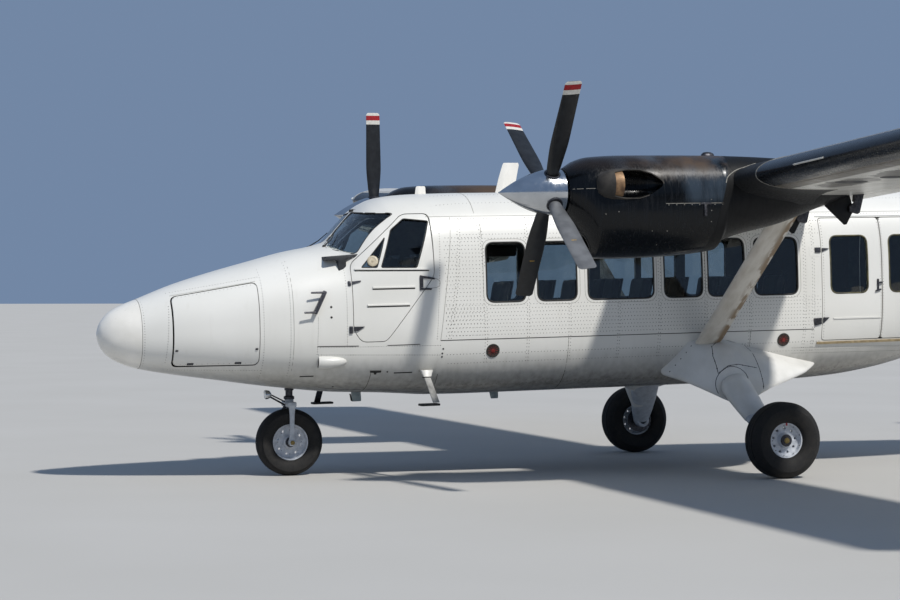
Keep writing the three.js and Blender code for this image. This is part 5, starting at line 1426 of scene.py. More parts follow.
def bolts(centre, side, depth, reach, count):
    ways = [Vector((cos(a), 0, sin(a))) for a in turns(count)]
    out = Vector((0, side, 0))
    return rivets([[(centre + out * depth + way * reach, out) for way in ways]], 6, 4, 6)


def wheels():
    wide = MAIN_WHEEL["width"] / 2
    for side, label in SIDES:
        centre = Vector((0, side * WHEEL_Y, WHEEL_RADIUS))
        body = f"main_wheel_{label}"

        def at_side(share):
            return centre + Vector((0, side * wide * share, 0))

        node = f"main_tyre_{label}"
        piece(f"{node}_skin", tyre(centre, **MAIN_WHEEL), TYRE, body, place=GROUND, nodes=[node])
        disc = wheel_disc(Vector((0, WHEEL_Y, WHEEL_RADIUS)), bore=41, **MAIN_WHEEL)
        disc = disc if side > 0 else mirrored(disc)
        piece(f"{body}_disc", disc, WHEEL_ENAMEL, body, place=GROUND, nodes=[body])
        ring = turned([(34, 0), (60, 0), (60, 8), (52, 14), (36, 14), (34, 10)], at_side(0.52), (0, side, 0), 40)
        drum = turned([(60, 0), (132, 0), (132, 9), (60, 9)], at_side(-0.95), (0, side, 0), 56)
        hub = [ring, drum, bolts(centre, side, wide * 0.58, 150, 9)]
        piece(f"{body}_hub", hub, STEEL, body, "wheel_paint", GROUND)
        nut = turned([(0, 0), (30, 0), (30, 20), (24, 28), (0, 30)], at_side(0.52), (0, side, 0), 24)
        piece(f"{body}_nut", nut, GOLD, body, place=GROUND)
        mark = ground_block((-9, 9), (0, 4), (146, 176))
        mark.transform(Matrix.Translation(at_side(0.59)))
        piece(f"{body}_mark", mark, BAND_RED, body, place=GROUND)

    centre = Vector((NOSE_X, 0, NOSE_WHEEL["radius"]))
    wide = NOSE_WHEEL["width"] / 2
    piece("nose_tyre_skin", tyre(centre, **NOSE_WHEEL), TYRE, "nose_wheel", place=GROUND, nodes=["nose_tyre"])
    disc = wheel_disc(centre, bore=29, **NOSE_WHEEL)
    piece("nose_wheel_disc", disc, WHEEL_ENAMEL, "nose_wheel", place=GROUND, nodes=["nose_wheel"])
    caps = [turned([(30, 0), (50, 0), (50, 6), (44, 10), (30, 10)], centre + Vector((0, side * wide * 0.55, 0)),
                   (0, side, 0), 40) for side, _ in SIDES]
    piece("nose_wheel_hub", [*caps, bolts(centre, 1, wide * 0.22, 120, 8)], STEEL, "nose_wheel", "wheel_paint", GROUND)


# Nose leg
NOSE_X = 4533
NOSE_FORK = 128
# Fork arm: rows are height, half width and half thickness
FORK_ARM = [(728, 38, 15), (690, 32, 15), (600, 24, 14), (470, 22, 14), (400, 25, 15), (352, 33, 16), (320, 32, 16),
            (300, 20, 14)]


def on_leg(y, z, x=0):
    return Vector((NOSE_X + x, y, z))


def nose_leg():
    tube = turned([(0, 0), (54, 0), (54, 24), (46, 30), (36, 36), (36, 250), (0, 250)], on_leg(0, 762), (0, 0, 1), 40)
    collar = turned([(35, 0), (46, 0), (46, 22), (35, 22)], on_leg(0, 850), (0, 0, 1), 40)
    piece("nose_strut_tube", [tube, collar], STEEL, slot="gear_paint", place=GROUND, nodes=["nose_strut"])

    crown = turned([(0, 0), (46, 0), (46, 70), (42, 76), (0, 76)], on_leg(0, 685), (0, 0, 1), 36)
    bridge = softened(ground_block((NOSE_X - 45, NOSE_X + 45), (-146, 146), (686, 738)), 12)
    arms = [lofted([[on_leg(side * NOSE_FORK + b, z, a)
                     for a, b in rounded([(wide, -thick), (wide, thick), (-wide, thick), (-wide, -thick)], 9, 3)]
                    for z, wide, thick in FORK_ARM]) for side, _ in SIDES]
    axle = rod(on_leg(-NOSE_FORK - 24, 334), on_leg(NOSE_FORK + 24, 334), 28, sides=28)
    piece("nose_fork_frame", [crown, bridge, *arms, axle], LEG_ENAMEL, "nose_leg", place=GROUND, nodes=["nose_fork"])
    nut = [(0, 0), (24, 0), (24, 14), (19, 20), (0, 20)]
    nuts = [turned(nut, on_leg(side * (NOSE_FORK + 18), 334), (0, side, 0), 6) for side, _ in SIDES]
    piece("nose_axle_nuts", nuts, GOLD, "nose_leg", "gear_paint", GROUND)
    links = [rod(on_leg(0, 702, 40), on_leg(100, 796, 225), 9), rod(on_leg(0, 738, 46), on_leg(90, 822, 228), 7),
             *(rod(on_leg(y, 705, 30), on_leg(y, 640, 74), 10) for y in (20, -20))]
    piece("nose_links", links, STEEL, "nose_leg", "gear_paint", GROUND)
    braces = [rod(on_leg(side * 30, 870, 20), on_leg(side * 60, 985, 150), 10) for side, _ in SIDES]
    braces += [rod(on_leg(0, 880, -30), on_leg(0, 975, -110), 9)]
    piece("nose_braces", braces, STEEL, slot="gear_paint", place=GROUND)
    bowl = [(40, 22), (45, 22), (45, 0), (37, -26), (18, -40), (0, -42), (0, -37), (15, -35), (33, -22), (40, 0)]
    lens = [(0, 24), (24, 23), (40, 18), (40, 14), (0, 14)]
    for name, profile, finish, slot in (("shell", bowl, POLISHED, "gear_paint"), ("lens", lens, LAMP, None)):
        lamp = turned(profile, on_leg(100, 814, 249), (1, 0, -0.12), 40)
        piece(f"taxi_lamp_{name}", lamp, finish, "nose_leg", slot, GROUND)


# Tail surfaces: columns of a row are leading edge, span and chord
FIN_ROWS = [[12000, 2370, 3790], [14000, 5740, 1470]]
DORSAL = [(10900, 2860), (12300, 2860), (12900, 3900), (12440, 3260)]
RUDDER_LOW = (14760, 2420)
RUDDER_HIGH = (14850, 5690)
RUDDER_NOSE = (132, 72)
TAILPLANE_Z = 3330
TAILPLANE_LE = 13340
TAILPLANE_CHORD = 1500
TAILPLANE_SPAN = 3150
ELEVATOR_HINGE = 14300
ELEVATOR_ROOT = 200
ELEVATOR_NOSE = 66
TAIL_GAP = 8
TAIL_FAR = 17000
TAIL_SECTION = aerofoil(0.12, 0, 30)

TAILPLANE_RINGS = ((-TAILPLANE_SPAN, 0.8), (-TAILPLANE_SPAN + 30, 0.95), (-TAILPLANE_SPAN + 90, 1),
                   (TAILPLANE_SPAN - 90, 1), (TAILPLANE_SPAN - 30, 0.95), (TAILPLANE_SPAN, 0.8))


def tailplane_solid():
    rings = []
    for y, scale in TAILPLANE_RINGS:
        stretch = (1 + scale) / 2 * TAILPLANE_CHORD
        rings.append([at(TAILPLANE_LE + 0.3 * TAILPLANE_CHORD + (x - 0.3) * stretch, y,
                         TAILPLANE_Z + h * TAILPLANE_CHORD * scale) for x, h in TAIL_SECTION])
    return lofted(rings)


def fin_line(share):
    """Leading edge, height and chord of the fin at a share of its span"""
    return [low + (high - low) * share for low, high in zip(*FIN_ROWS)]


def fin_ring(share, scale=1):
    edge, span, chord = fin_line(share)
    return [at(edge + x * chord, h * chord * scale, span) for x, h in TAIL_SECTION]


def fin_rudder():
    whole = lofted([fin_ring(0), fin_ring(0.97), fin_ring(0.985, 0.85), fin_ring(1, 0.5)])
    low, high = Vector(RUDDER_LOW), Vector(RUDDER_HIGH)
    foot = low.y + TAIL_GAP
    behind = [(low.x, foot), (TAIL_FAR, foot), (TAIL_FAR, high.y), (high.x, high.y)]
    room = [(low.x - 2, low.y - 20), (TAIL_FAR, low.y - 20), (TAIL_FAR, 6200), (high.x + 10, 6200)]
    start, end = at(low.x, 0, low.y + 5), at(high.x, 0, high.y)
    axis = (end - start).normalized()
    rudder = carve(whole.copy(), prism("side", behind, -500, 500), "INTERSECT")
    rudder = carve(rudder, rod(start + axis * 4, end - axis * 2, *RUDDER_NOSE, sides=40), "UNION")
    rudder = carve(rudder, block((15050, 15054), (-300, 300), (2900, 4300)))
    fin = carve(whole, prism("side", room, -500, 500))
    groove = rod(start - axis * TAIL_GAP, end + axis * TAIL_GAP, *(r + TAIL_GAP for r in RUDDER_NOSE), sides=40)
    fin = carve(fin, groove)
    fin = carve(fin, softened(prism("side", DORSAL, -28, 28), 16), "UNION")
    piece("fin_skin", fin, ENAMEL, nodes=["fin"])
    piece("rudder_skin", rudder, ENAMEL, "rudder", nodes=["rudder"])
    boot = []
    for edge, span, chord in map(fin_line, steps(0.16, 0.93, 0.1)):
        boot.append([at(edge + x * chord - 3 * (1 - x / 0.06), h * chord + copysign(2, h), span)
                     for x, h in TAIL_SECTION if x < 0.06])
    piece("fin_boot", lofted(boot), BOOT, crease=50)

    tail = shell(AFT_BAY_END + TOUCH, TAIL_END)
    front = low.x - RUDDER_NOSE[0] - TAIL_GAP - 2
    tail = carve(tail, block((front, TAIL_FAR), (-500, 500), (low.y - TAIL_GAP, 4000)))
    skin_piece("tail_skin", tail, nodes=["tail_cone"])
    bulb = [(0, -20), (26, -20), (26, 0), (20, 22), (8, 34), (0, 36)]
    piece("tail_lamp", turned(bulb, at(TAIL_END - 40, 0, 2545), (-1, 0, 0), 24), LAMP)


def elevators():
    plain = tailplane_solid()
    fixed = plain.copy()
    heights = (TAILPLANE_Z - 400, TAILPLANE_Z + 400)
    for side, label in SIDES:
        def outboard(first, last):
            return sorted((side * first, side * last))

        inner, outer = (at(ELEVATOR_HINGE, side * y, TAILPLANE_Z) for y in (ELEVATOR_ROOT, TAILPLANE_SPAN - 6))
        line = (outer - inner).normalized()
        room = block((ELEVATOR_HINGE, TAIL_FAR), outboard(ELEVATOR_ROOT, 4000), heights)
        moving = carve(plain.copy(), room, "INTERSECT")
        moving = carve(moving, rod(inner + line, outer, ELEVATOR_NOSE, sides=32), "UNION")
        fixed = carve(fixed, block((ELEVATOR_HINGE - 2, TAIL_FAR), outboard(ELEVATOR_ROOT - TAIL_GAP, 4000), heights))
        fixed = carve(fixed, rod(inner - line * TAIL_GAP, outer + line * 20, ELEVATOR_NOSE + TAIL_GAP, sides=32))
        moving = carve(moving, block((14560, 14564), outboard(500, 1700), heights))
        piece(f"elevator_{label}_skin", moving, ENAMEL, "elevator", nodes=[f"elevator_{label}"])
    fixed = carve(fixed, block((14560, TAIL_FAR), (-ELEVATOR_ROOT, ELEVATOR_ROOT), (2900, 3800)))
    plain.free()
    piece("tailplane_skin", fixed, ENAMEL, nodes=["tailplane"])
    boots = [lofted([[at(TAILPLANE_LE + x * TAILPLANE_CHORD - 3 * (1 - x / 0.07), y,
                         TAILPLANE_Z + h * TAILPLANE_CHORD + copysign(2, h)) for x, h in TAIL_SECTION if x < 0.07]
                     for y in steps(first, last, 300)]) for first, last in ((350, 3080), (-3080, -350))]
    piece("tailplane_boots", boots, BOOT, crease=50)


# Seams, rivets and fittings of the fuselage: lines are (station, z) corners on a side
FRAMES = [4157, 4600, 5130, 5577, 6090, 6593, 7219, 7320]
CABIN_RIVETS = [[(3300, z), (3690, z)] for z in steps(1475, 2440, 39)]
CABIN_RIVETS += [[(3300, z), (8900, z)] for z in steps(1475, 1770, 39)]
CABIN_RIVETS += [[(3440, z), (8900, z)] for z in (2428, 2470, 2560, 2628)]
CABIN_RIVETS += [[(3315, 1200), (8900, 1212)], [(3315, 1290), (8900, 1300)]]
CABIN_RIVETS += [[(3461 + d, 2625), (3399 + d, 1955), (3324 + d, 1450)] for d in (0, 26)]
CABIN_RIVETS += [[(3671 + d, 2600), (3705 + d, 1444), (3705 + d, 1205)] for d in (0, 24)]
CABIN_RIVETS += [[(station + d, 2630), (station - 12 + d, 1205)] for station in FRAMES for d in (0, 22)]
NOSE_RIVETS = [
    [(1752, 2230), (1752, 1130)], [(2016, 1700), (2007, 1335)], [(2010, 1400), (3240, 1385)],
    [(2009, 1330), (3240, 1290)], [(2303, 2300), (2296, 1420)], [(3268, 2600), (3205, 1450)],
    [(600, 1290), (640, 1960)], [(1500, 2180), (1500, 1110)], [(640, 1215), (1490, 1190)],
    [(660, 1964), (1480, 2096)], [(405, 1880), (405, 1260)],
]
TAIL_RIVETS = [[(station, 2800), (station, low)] for station, low in (
    (8965, 1250), (9480, 1350), (9990, 1460), (10435, 1560), (10960, 1700), (11500, 1820), (12080, 1950))]
TAIL_RIVETS += [[(8900, z), (12600, z + rise)] for z, rise in (
    (2650, -40), (2480, -30), (2300, -10), (1900, 180), (1500, 540))]
LAPS = [[(3241, 1433), (7330, 1427)], [(2009, 1412), (2411, 1405)], [(2701, 1401), (3030, 1403)]]
SEAMS = [[(3396, 2644), (3241, 1433)], [(3150, 2654), (8900, 2646)], [(3692, 2640), (3692, 2440)],
         [(1781, 2300), (1781, 1010)], [(8951, 2780), (8951, 1240)], [(10451, 2750), (10451, 1620)],
         [(4590, 1425), (4590, 1000)], [(6600, 1425), (6600, 1000)]]


def inside(station, z, outline):
    """Whether a place on the side lies within an outline"""
    within = False
    for (a, b), (c, d) in zip(outline, outline[1:] + outline[:1]):
        if (b > z) != (d > z) and station < a + (z - b) / (d - b) * (c - a):
            within = not within
    return within


def openings(side, margin):
    outlines = [rectangle(*ends, *WINDOW_BAND) for ends in WINDOWS] + [CREW_DOOR]
    outlines += [NOSE_DOOR, AFT_DOOR, rectangle(*REAR_DOOR)] if side > 0 else [
        rectangle(*DOOR_WINDOWS[0], *DOOR_BAND), rectangle(*RIGHT_DOOR)]
    return [grown(outline, margin) for outline in outlines]


def riveted(lines, side, pitch=34, margin=16):
    """Staggered rivets along lines on one side, left out over its openings"""
    holes = openings(side, margin)
    rows = []
    for i, line in enumerate(lines):
        for (a, b), (c, d) in zip(line, line[1:]):
            share = pitch / dist((a, b), (c, d))
            spots = [(a + (c - a) * t, b + (d - b) * t) for t in steps(share / 2 * (i % 2), 1, share)]
            rows.append([on_side(*spot, side) for spot in spots if not any(inside(*spot, hole) for hole in holes)])
    return rows


def skin_rivets():
    groups = (("cabin", CABIN_RIVETS, 34, 16), ("nose", NOSE_RIVETS, 26, 22), ("tail", TAIL_RIVETS, 38, 22))
    for side, label in SIDES:
        for name, lines, pitch, margin in groups:
            piece(f"{name}_rivets_{label}", rivets(riveted(lines, side, pitch, margin)), RIVET_DIRT_AND_SHADE)
    rows = [[on_top(station, y) for station in steps(*CABIN_RUN, 40)] for y in (-620, -420, -180, 180, 420, 620)]
    rows += [[on_top(station, y, -1) for station in steps(*CABIN_RUN, 40)] for y in (-600, -300, 300, 600)]
    piece("roof_rivets", rivets(rows), RIVET_DIRT_AND_SHADE)


def strip(line, side, profile, pitch=60):
    """A strip along a line on one side"""
    return run([on_side(*spot, side) for spot in [*along(line, pitch), line[-1]]], profile)


def skin_seams():
    for side, label in SIDES:
        # Dark strips along the lap edges: dirt in the laps, and painted shadow below each edge
        piece(f"side_laps_{label}", [strip(line, side, flat_bar(7, 1.6)) for line in LAPS], DARK_GAP_AND_SHADOW)
        bars = [strip(line, side, flat_bar(4, 0.7)) for line in SEAMS]
        bars += [seal_round(o, WINDOW_RADIUS + 30, side, flat_bar(3, 0.7), 34) for o in window_outlines(side)]
        piece(f"side_seams_{label}", bars, SEALANT)
    hoops = [run(round_body(station, 42, 138), flat_bar(5, 0.9)) for station in (3655, 4760, 6600, 8951)]
    hoops.append(run([on_top(station, 0) for station in steps(*CABIN_RUN, 100)], flat_bar(4, 0.8)))
    hoops.append(run(round_body(RADOME_END, 0, 355), flat_bar(5, 0.8), closed=True))
    piece("roof_seams", hoops, SEALANT)
    belly = [run(round_body(station, 222, 318), flat_bar(5, 0.9)) for station in (2560, 3240, 4590, 6600, 8951)]
    belly += [run([on_top(station, y, -1) for station in steps(2100, 8900, 100)], flat_bar(5, 1)) for y in (-420, 420)]
    piece("belly_seams", belly, DARK_GAP_AND_SHADOW)


def plate(outline, side, height, radius=0, sunk=4):
    """A raised plate that follows the side's curve"""
    flat = rounded(outline, radius, 4) if radius else outline
    return lofted([[on_side(*spot, side, lift)[0] for spot in flat] for lift in (-sunk, height)])


DOOR_RIBS = [((2398, 2150), (3130, 2138)), ((2557, 1967), (2984, 1967)), ((2500, 1797), (2927, 1797))]
RIB = [(-9, -3), (9, -3), (9, 8), (6, 13), (-6, 13), (-9, 8)]
DOOR_HINGES = [[(2362, 2004), (2362, 2030), (2444, 2038), (2444, 2028)],
               [(2362, 1552), (2362, 1594), (2468, 1593), (2400, 1550)]]
FRAME_HINGES = [rectangle(2322, 2350, 1990, 2034), rectangle(2316, 2350, 1528, 1598)]
DOOR_HANDLE = [[(3032, 2054), (3036, 2078), (3184, 2050), (3184, 2034)],
               [(3032, 1956), (3032, 2054), (3066, 2048), (3066, 1962)],
               [(3032, 1934), (3032, 1956), (3100, 1954), (3152, 1948), (3150, 1934)]]
# Places of round ports and spots with their radius and count of sides, flat slots and a drain's outline
PORTS = [(2144, z, 11, 16) for z in (1790, 1690)]
SPOTS = [(s, z, 9, 12) for s, z in (
    (3270, 1350), (3263, 1305), (3262, 1271), (2727, 1139), (2232, 1003), (3050, 1140))]
PORT_SLOTS = [rectangle(2795, 2976, 1121, 1131), rectangle(1875, 2005, 1114, 1124)]
DRAIN = [(2547, 1158), (2663, 1155), (2660, 1140), (2618, 1138), (2614, 1122), (2594, 1122), (2590, 1140),
         (2550, 1142)]
# Air scoop: rows are station, half height and how far it stands off the skin
SCOOP_Z = 1255
SCOOP = [(2026, 57, 62), (2066, 59, 69), (2146, 56, 66), (2214, 48, 54), (2262, 36, 38), (2290, 20, 20), (2300, 6, 5)]
ROUND_VENTS = ((3789, 1315), (6984, 1326))


def plates(outlines, side, height, radius=0):
    return [plate(outline, side, height, radius) for outline in outlines]


def crew_door_fittings(side, label):
    door = f"crew_door_{label}"
    piece(f"{door}_ribs", [strip(rib, side, RIB) for rib in DOOR_RIBS], ENAMEL, door)
    # Below each rib a dark strip: painted shadow of the rib
    rib_shadows = [[(s, z - 15) for s, z in rib] for rib in DOOR_RIBS]
    piece(f"{door}_shades", [strip(shade, side, flat_bar(11, 1.5)) for shade in rib_shadows], DARK_GAP_AND_SHADOW, door)
    piece(f"{door}_hinges", plates(DOOR_HINGES, side, 12), STEEL, door)
    piece(f"cockpit_hinges_{label}", softened(gathered(plates(FRAME_HINGES, side, 14)), 3), STEEL)
    piece(f"door_handle_{label}", plates(DOOR_HANDLE, side, 11), STEEL, door)
    arc = [(3190 + 52 * cos(a), 1998 + 44 * sin(a)) for a in (radians(d) for d in range(80, -81, -20))]
    piece(f"handle_recess_{label}", strip([(3120, 2064), *arc, (3120, 1946)], side, flat_bar(4, 0.8)), SEALANT)


def side_ports(side, label):
    rounds = [turned([(0, -3), (radius, -3), (radius, 2), (0, 2)], *on_side(s, z, side), count)
              for s, z, radius, count in PORTS + SPOTS]
    flats = [*plates(PORT_SLOTS, side, 2), plate(DRAIN, side, 9)]
    piece(f"side_ports_{label}", [*rounds, *flats], RUBBER, slot="engine_metal")


def pitot(side, label):
    """Two open tubes on a raked mast"""
    out = on_side(1975, 1835, side)[1]
    mast = strip([(2090, 1932), (1983, 1731)], side, [(-22, -3), (22, -3), (17, 62), (-17, 62)], 40)
    tubes = []
    for station, z, reach in ((2081, 1925, 134), (1986, 1735, 112)):
        root = on_side(station, z, side)[0] + out * 56
        tubes.append(rod(root, root + Vector((reach, 0, 0)), 11, 9))
    piece(f"pitot_{label}", [mast, *tubes], STEEL)


def air_scoop(side, label):
    half_turn = [i / 16 * pi for i in range(17)]
    rings = [[on_side(station, SCOOP_Z + half * cos(a), side, -4 + (lift + 4) * max(0.0, sin(a)))[0]
              for a in half_turn] for station, half, lift in SCOOP]
    piece(f"air_scoop_{label}", lofted(rings), ENAMEL, crease=50)
    # The mouth is not cut open: a black plate across its front stands in for the shade inside the scoop
    mouth = [on_side(2025, SCOOP_Z + 45 * cos(a), side, 50 * sin(a))[0] for a in half_turn]
    back = [place + Vector((-6, 0, 0)) for place in mouth]
    piece(f"scoop_mouth_{label}", lofted([mouth, back]), RUBBER, slot="engine_metal")


def round_vents(side, label):
    vents, reds = [], []
    for station, z in ROUND_VENTS:
        place, out = on_side(station, z, side)
        vents.append(turned([(0, -6), (70, -6), (70, 3), (62, 5), (54, 2), (0, 2)], place, out, 40))
        reds.append(turned([(0, 0), (21, 0), (21, 7), (16, 9), (0, 9)], place, out, 24))
        level = Vector((out.z, 0, -out.x)) if abs(out.y) > 0.99 else out.cross(Vector((1, 0, 0)))
        for turn in turns(12):
            way = Matrix.Rotation(turn, 3, out) @ level.normalized()
            reds.append(rod(place + way * 26 + out * 3, place + way * 54 + out * 3, 3, 2, 6))
    piece(f"round_vents_{label}", vents, DARK_GAP_AND_SHADOW, slot="engine_metal")
    piece(f"vent_plugs_{label}", reds, VENT_RED)
    disc = turned([(0, -20), (54, -20), (55, -2), (50, 4), (34, 7), (31, 3), (12, 4), (9, 8), (0, 9)],
                  *on_side(2574, 2228, side), 40)
    piece(f"corner_vent_{label}", disc, CREAM_PLASTIC, f"crew_door_{label}")


# Boarding steps: finish, tread's stations, reach across and height, then the post's foot, its root on the skin
BOARDING_STEPS = {
    "left": (ENAMEL, (2951, 3140), (985, 1112), 820, Vector((3118, 1050, 838)), Vector((3102, 822, 1078))),
    "right": (STEEL, (2387, 2605), (890, 1010), 762, Vector((2442, 950, 775)), Vector((2446, 745, 985))),
}
POST = rounded([(-34, -10), (34, -10), (34, 10), (-34, 10)], 9, 3)


def boarding_step(side, label):
    finish, ends, across, low, foot, root = BOARDING_STEPS[label]

    def post(s, y, z, width, depth):
        return [at(s, side * y, z) + Vector((a * width, b * depth, 0)) for a, b in POST]

    tapering = ((foot, 1.0), (foot.lerp(root, 0.5), 0.98), (root, 0.96))
    leg = lofted([post(*place, size, size) for place, size in tapering])
    piece(f"boarding_step_leg_{label}", leg, finish, slot="white_paint")
    s, y, z = root
    piece(f"boarding_step_joint_{label}", lofted([post(s - 5, y, z + lift, 1.25, 1.5) for lift in (-6, 5)]), RUBBER,
          slot="tyre")
    cone = [post(s + 4 * k, y - 26 * k, z + 5 + 26 * k, 1.25 + 0.32 * k, 1.6 + 0.9 * k) for k in (0, 0.4, 1, 1.7, 2.4)]
    piece(f"boarding_step_root_{label}", lofted(cone), ENAMEL)
    tread = softened(block(ends, sorted((side * across[0], side * across[1])), (low - 10, low + 12)), 6)
    piece(f"boarding_step_tread_{label}", tread, RUBBER, slot="tyre")


# Aerials: rows are height, station, chord and thickness of a leaf-shaped section
LEAF = rounded([(0, 0), (0.3, 0.5), (1, 0), (0.3, -0.5)], 0.12, 3)
ROOF_AERIALS = [
    [(2895, 4130, 230, 46), (3060, 4175, 215, 34), (3200, 4222, 198, 26), (3222, 4236, 176, 16)],
    [(2890, 3268, 130, 36), (2974, 3282, 112, 26), (2988, 3292, 92, 14)],
    [(2890, 5900, 230, 40), (3060, 5950, 200, 30), (3130, 5975, 170, 18)],
]
BELLY_AERIALS = [
    [(930, 2546, 112, 26), (850, 2552, 110, 22), (828, 2554, 108, 18), (820, 2558, 98, 10)],
    [(880, 4020, 112, 26), (800, 4040, 90, 20), (792, 4046, 76, 10)],
]


def aerials_and_wipers():
    white, grey = ([lofted([[at(s + a * chord, b * thick, z) for a, b in LEAF] for z, s, chord, thick in rows])
                    for rows in group] for group in (ROOF_AERIALS, BELLY_AERIALS))
    piece("roof_aerials", white, RADOME_ENAMEL, slot="white_paint", crease=40)
    piece("belly_aerials", grey, AERIAL_GREY)
    piece("aerial_mount", rod(at(2540, 0, 900), at(2556, 0, 826), 7, 9), RUBBER, slot="engine_metal")
    wiper = []
    for side, _ in SIDES:
        line = [on_front(side * y, z) for y, z in ((320, 2385), (250, 2440), (140, 2520))]
        ends = [place + out * lift for (place, out), lift in zip(line, (8, 22, 16))]
        wiper += [rod(ends[0], ends[1], 7, 5), rod(ends[1], ends[2], 5, 4)]
        wiper.append(turned([(0, -14), (18, -14), (18, 10), (12, 16), (0, 16)], *line[0], 20))
    piece("wipers", wiper, RUBBER)
    beacon = turned([(0, -20), (50, -20), (52, 0), (44, 40), (24, 62), (0, 68)], at(7300, 0, 2908), (0, 0, 1), 32)
    piece("roof_beacon", beacon, VENT_RED, slot="cockpit_glass")


# Flat fittings of the rear double door: name, body, finish, height and outlines
REAR_DOOR_PLATES = [
    ("rear_door_front_hinges", "rear_door_front", STEEL, 14,
     [[(7434, 2268), (7512, 2263), (7434, 2232)], [(7434, 1545), (7500, 1545), (7434, 1490)]]),
    ("rear_frame_hinges", "airframe", STEEL, 12,
     [rectangle(7350, 7412, 2222, 2274), [(7322, 1538), (7412, 1542), (7412, 1480), (7336, 1462)]]),
    ("rear_door_back_hinges", "rear_door_back", STEEL, 12,
     [rectangle(8764, 8824, 2222, 2274), rectangle(8764, 8824, 1490, 1542)]),
]


def rear_door_fittings():
    for name, body, finish, height, outlines in REAR_DOOR_PLATES:
        piece(name, plates(outlines, 1, height), finish, body)
    pads = [rectangle(7285, 7410, 2185, 2295), rectangle(7290, 7410, 1450, 1560)]
    piece("hinge_doublers", plates(pads, 1, 1.2, 20), ENAMEL)
    handle = [plate(rectangle(8070, 8086, 1806, 1934), 1, 14), plate(rectangle(8070, 8127, 1886, 1904), 1, 20),
              plate([(8048, 1800), (8048, 1816), (8108, 1832), (8112, 1818)], 1, 16)]
    piece("rear_door_handle", handle, STEEL, "rear_door_front")
    ledge = strip([(7556, 1530), (8110, 1530)], 1, [(-10, -3), (10, -3), (10, 3), (4, 8), (-10, 8)])
    piece("rear_door_ledge", ledge, ENAMEL, "rear_door_front")
    piece("rear_door_sill", strip([(7374, 1280), (8840, 1284)], 1, flat_bar(24, 12)), SILL_METAL)
    gutter = strip([(7400, 2602), (8860, 2602)], 1, [(-6, -3), (6, -3), (6, 8), (-6, 3)])
    piece("rear_door_gutter", gutter, ENAMEL)
    sill = riveted([[(7100, 1237), (8900, 1215)], [(7100, 1180), (8900, 1160)]], 1, 22)
    for name, stations, body in (("edge", (7446, 8114), "rear_door_front"), ("back", (8146, 8814), "rear_door_back")):
        rows = [[on_side(station, z) for z in steps(1340, 2560, 30)] for station in stations]
        piece(f"door_{name}_rivets", rivets(rows), RIVET_DIRT_AND_SHADE, body)
    piece("sill_rivets", rivets(sill), RIVET_DIRT_AND_SHADE)


def nose_fittings():
    hinge = run([on_side(s, 1934 + (s - 664) * 0.155, lift=1) for s in steps(670, 1456, 40)], round_bar(7))
    piece("nose_door_hinge", hinge, ENAMEL)
    latches = plates([rectangle(s, s + 26, 1396, 1412) for s in (682, 1420)], 1, 5, 4)
    latches += plates([rectangle(s, s + 60, 1262, 1280) for s in (800, 1240)], 1, 4, 4)
    piece("nose_door_latches", latches, STEEL, "nose_door")
    screws = [[on_side(s, 1905 + (s - 664) * 0.157) for s in steps(690, 1440, 36)],
              [on_side(s, 1268) for s in steps(690, 1440, 50)]]
    piece("nose_door_screws", rivets(screws, 4.5, 1.2, 6), RIVET_DIRT_AND_SHADE, "nose_door")


# Cabin and cockpit inside: seats are front station, middle, width, top of the cushion and top of the back
SEAT_ROWS = (3542, 4302, 5062, 5822, 6582)
CREW_SEATS = [(2640, side * 380, 440, 1720, 2330) for side, _ in SIDES]
LEFT_SEATS = [(station, 525, 430, 1680, 2040) for station in SEAT_ROWS]
RIGHT_SEATS = [(station, y, 340, 1680, 2040) for station in SEAT_ROWS for y in (-225, -575)]
PAD_SIZE = Vector((430, 430, 110))
PAD_VOXEL = 0.019
PAD_CAP = 0.012
INSTRUMENT_BOARD = [(2130, 2240), (2250, 2240), (2250, 1560), (2330, 1560), (2330, 2250), (2450, 2270), (2450, 2300),
                    (2130, 2280)]

PAD_FRAMES = 20
PAD_CLOTH = {"quality": 5, "mass": 0.3, "tension_stiffness": 15, "use_pressure": True, "uniform_pressure_force": 4}


def blown(pad):
    """Lets a short cloth simulation blow up a pad's mesh, no point moving further than the cap"""
    cloth = pad.modifiers.new("cloth", "CLOTH")
    for key, value in PAD_CLOTH.items():
        setattr(cloth.settings, key, value)
    cloth.settings.effector_weights.gravity = 0
    cloth.point_cache.frame_start, cloth.point_cache.frame_end = 1, PAD_FRAMES
    for number in range(1, PAD_FRAMES + 1):
        bpy.context.scene.frame_set(number)
    swollen = pad.evaluated_get(bpy.context.evaluated_depsgraph_get()).data
    moved = [vert.co.copy() for vert in swollen.vertices]
    pad.modifiers.clear()
    for vert, place in zip(pad.data.vertices, moved):
        shift = place - vert.co
        vert.co += shift * min(1, PAD_CAP / max(shift.length, 1e-6))
    bpy.context.scene.frame_set(1)


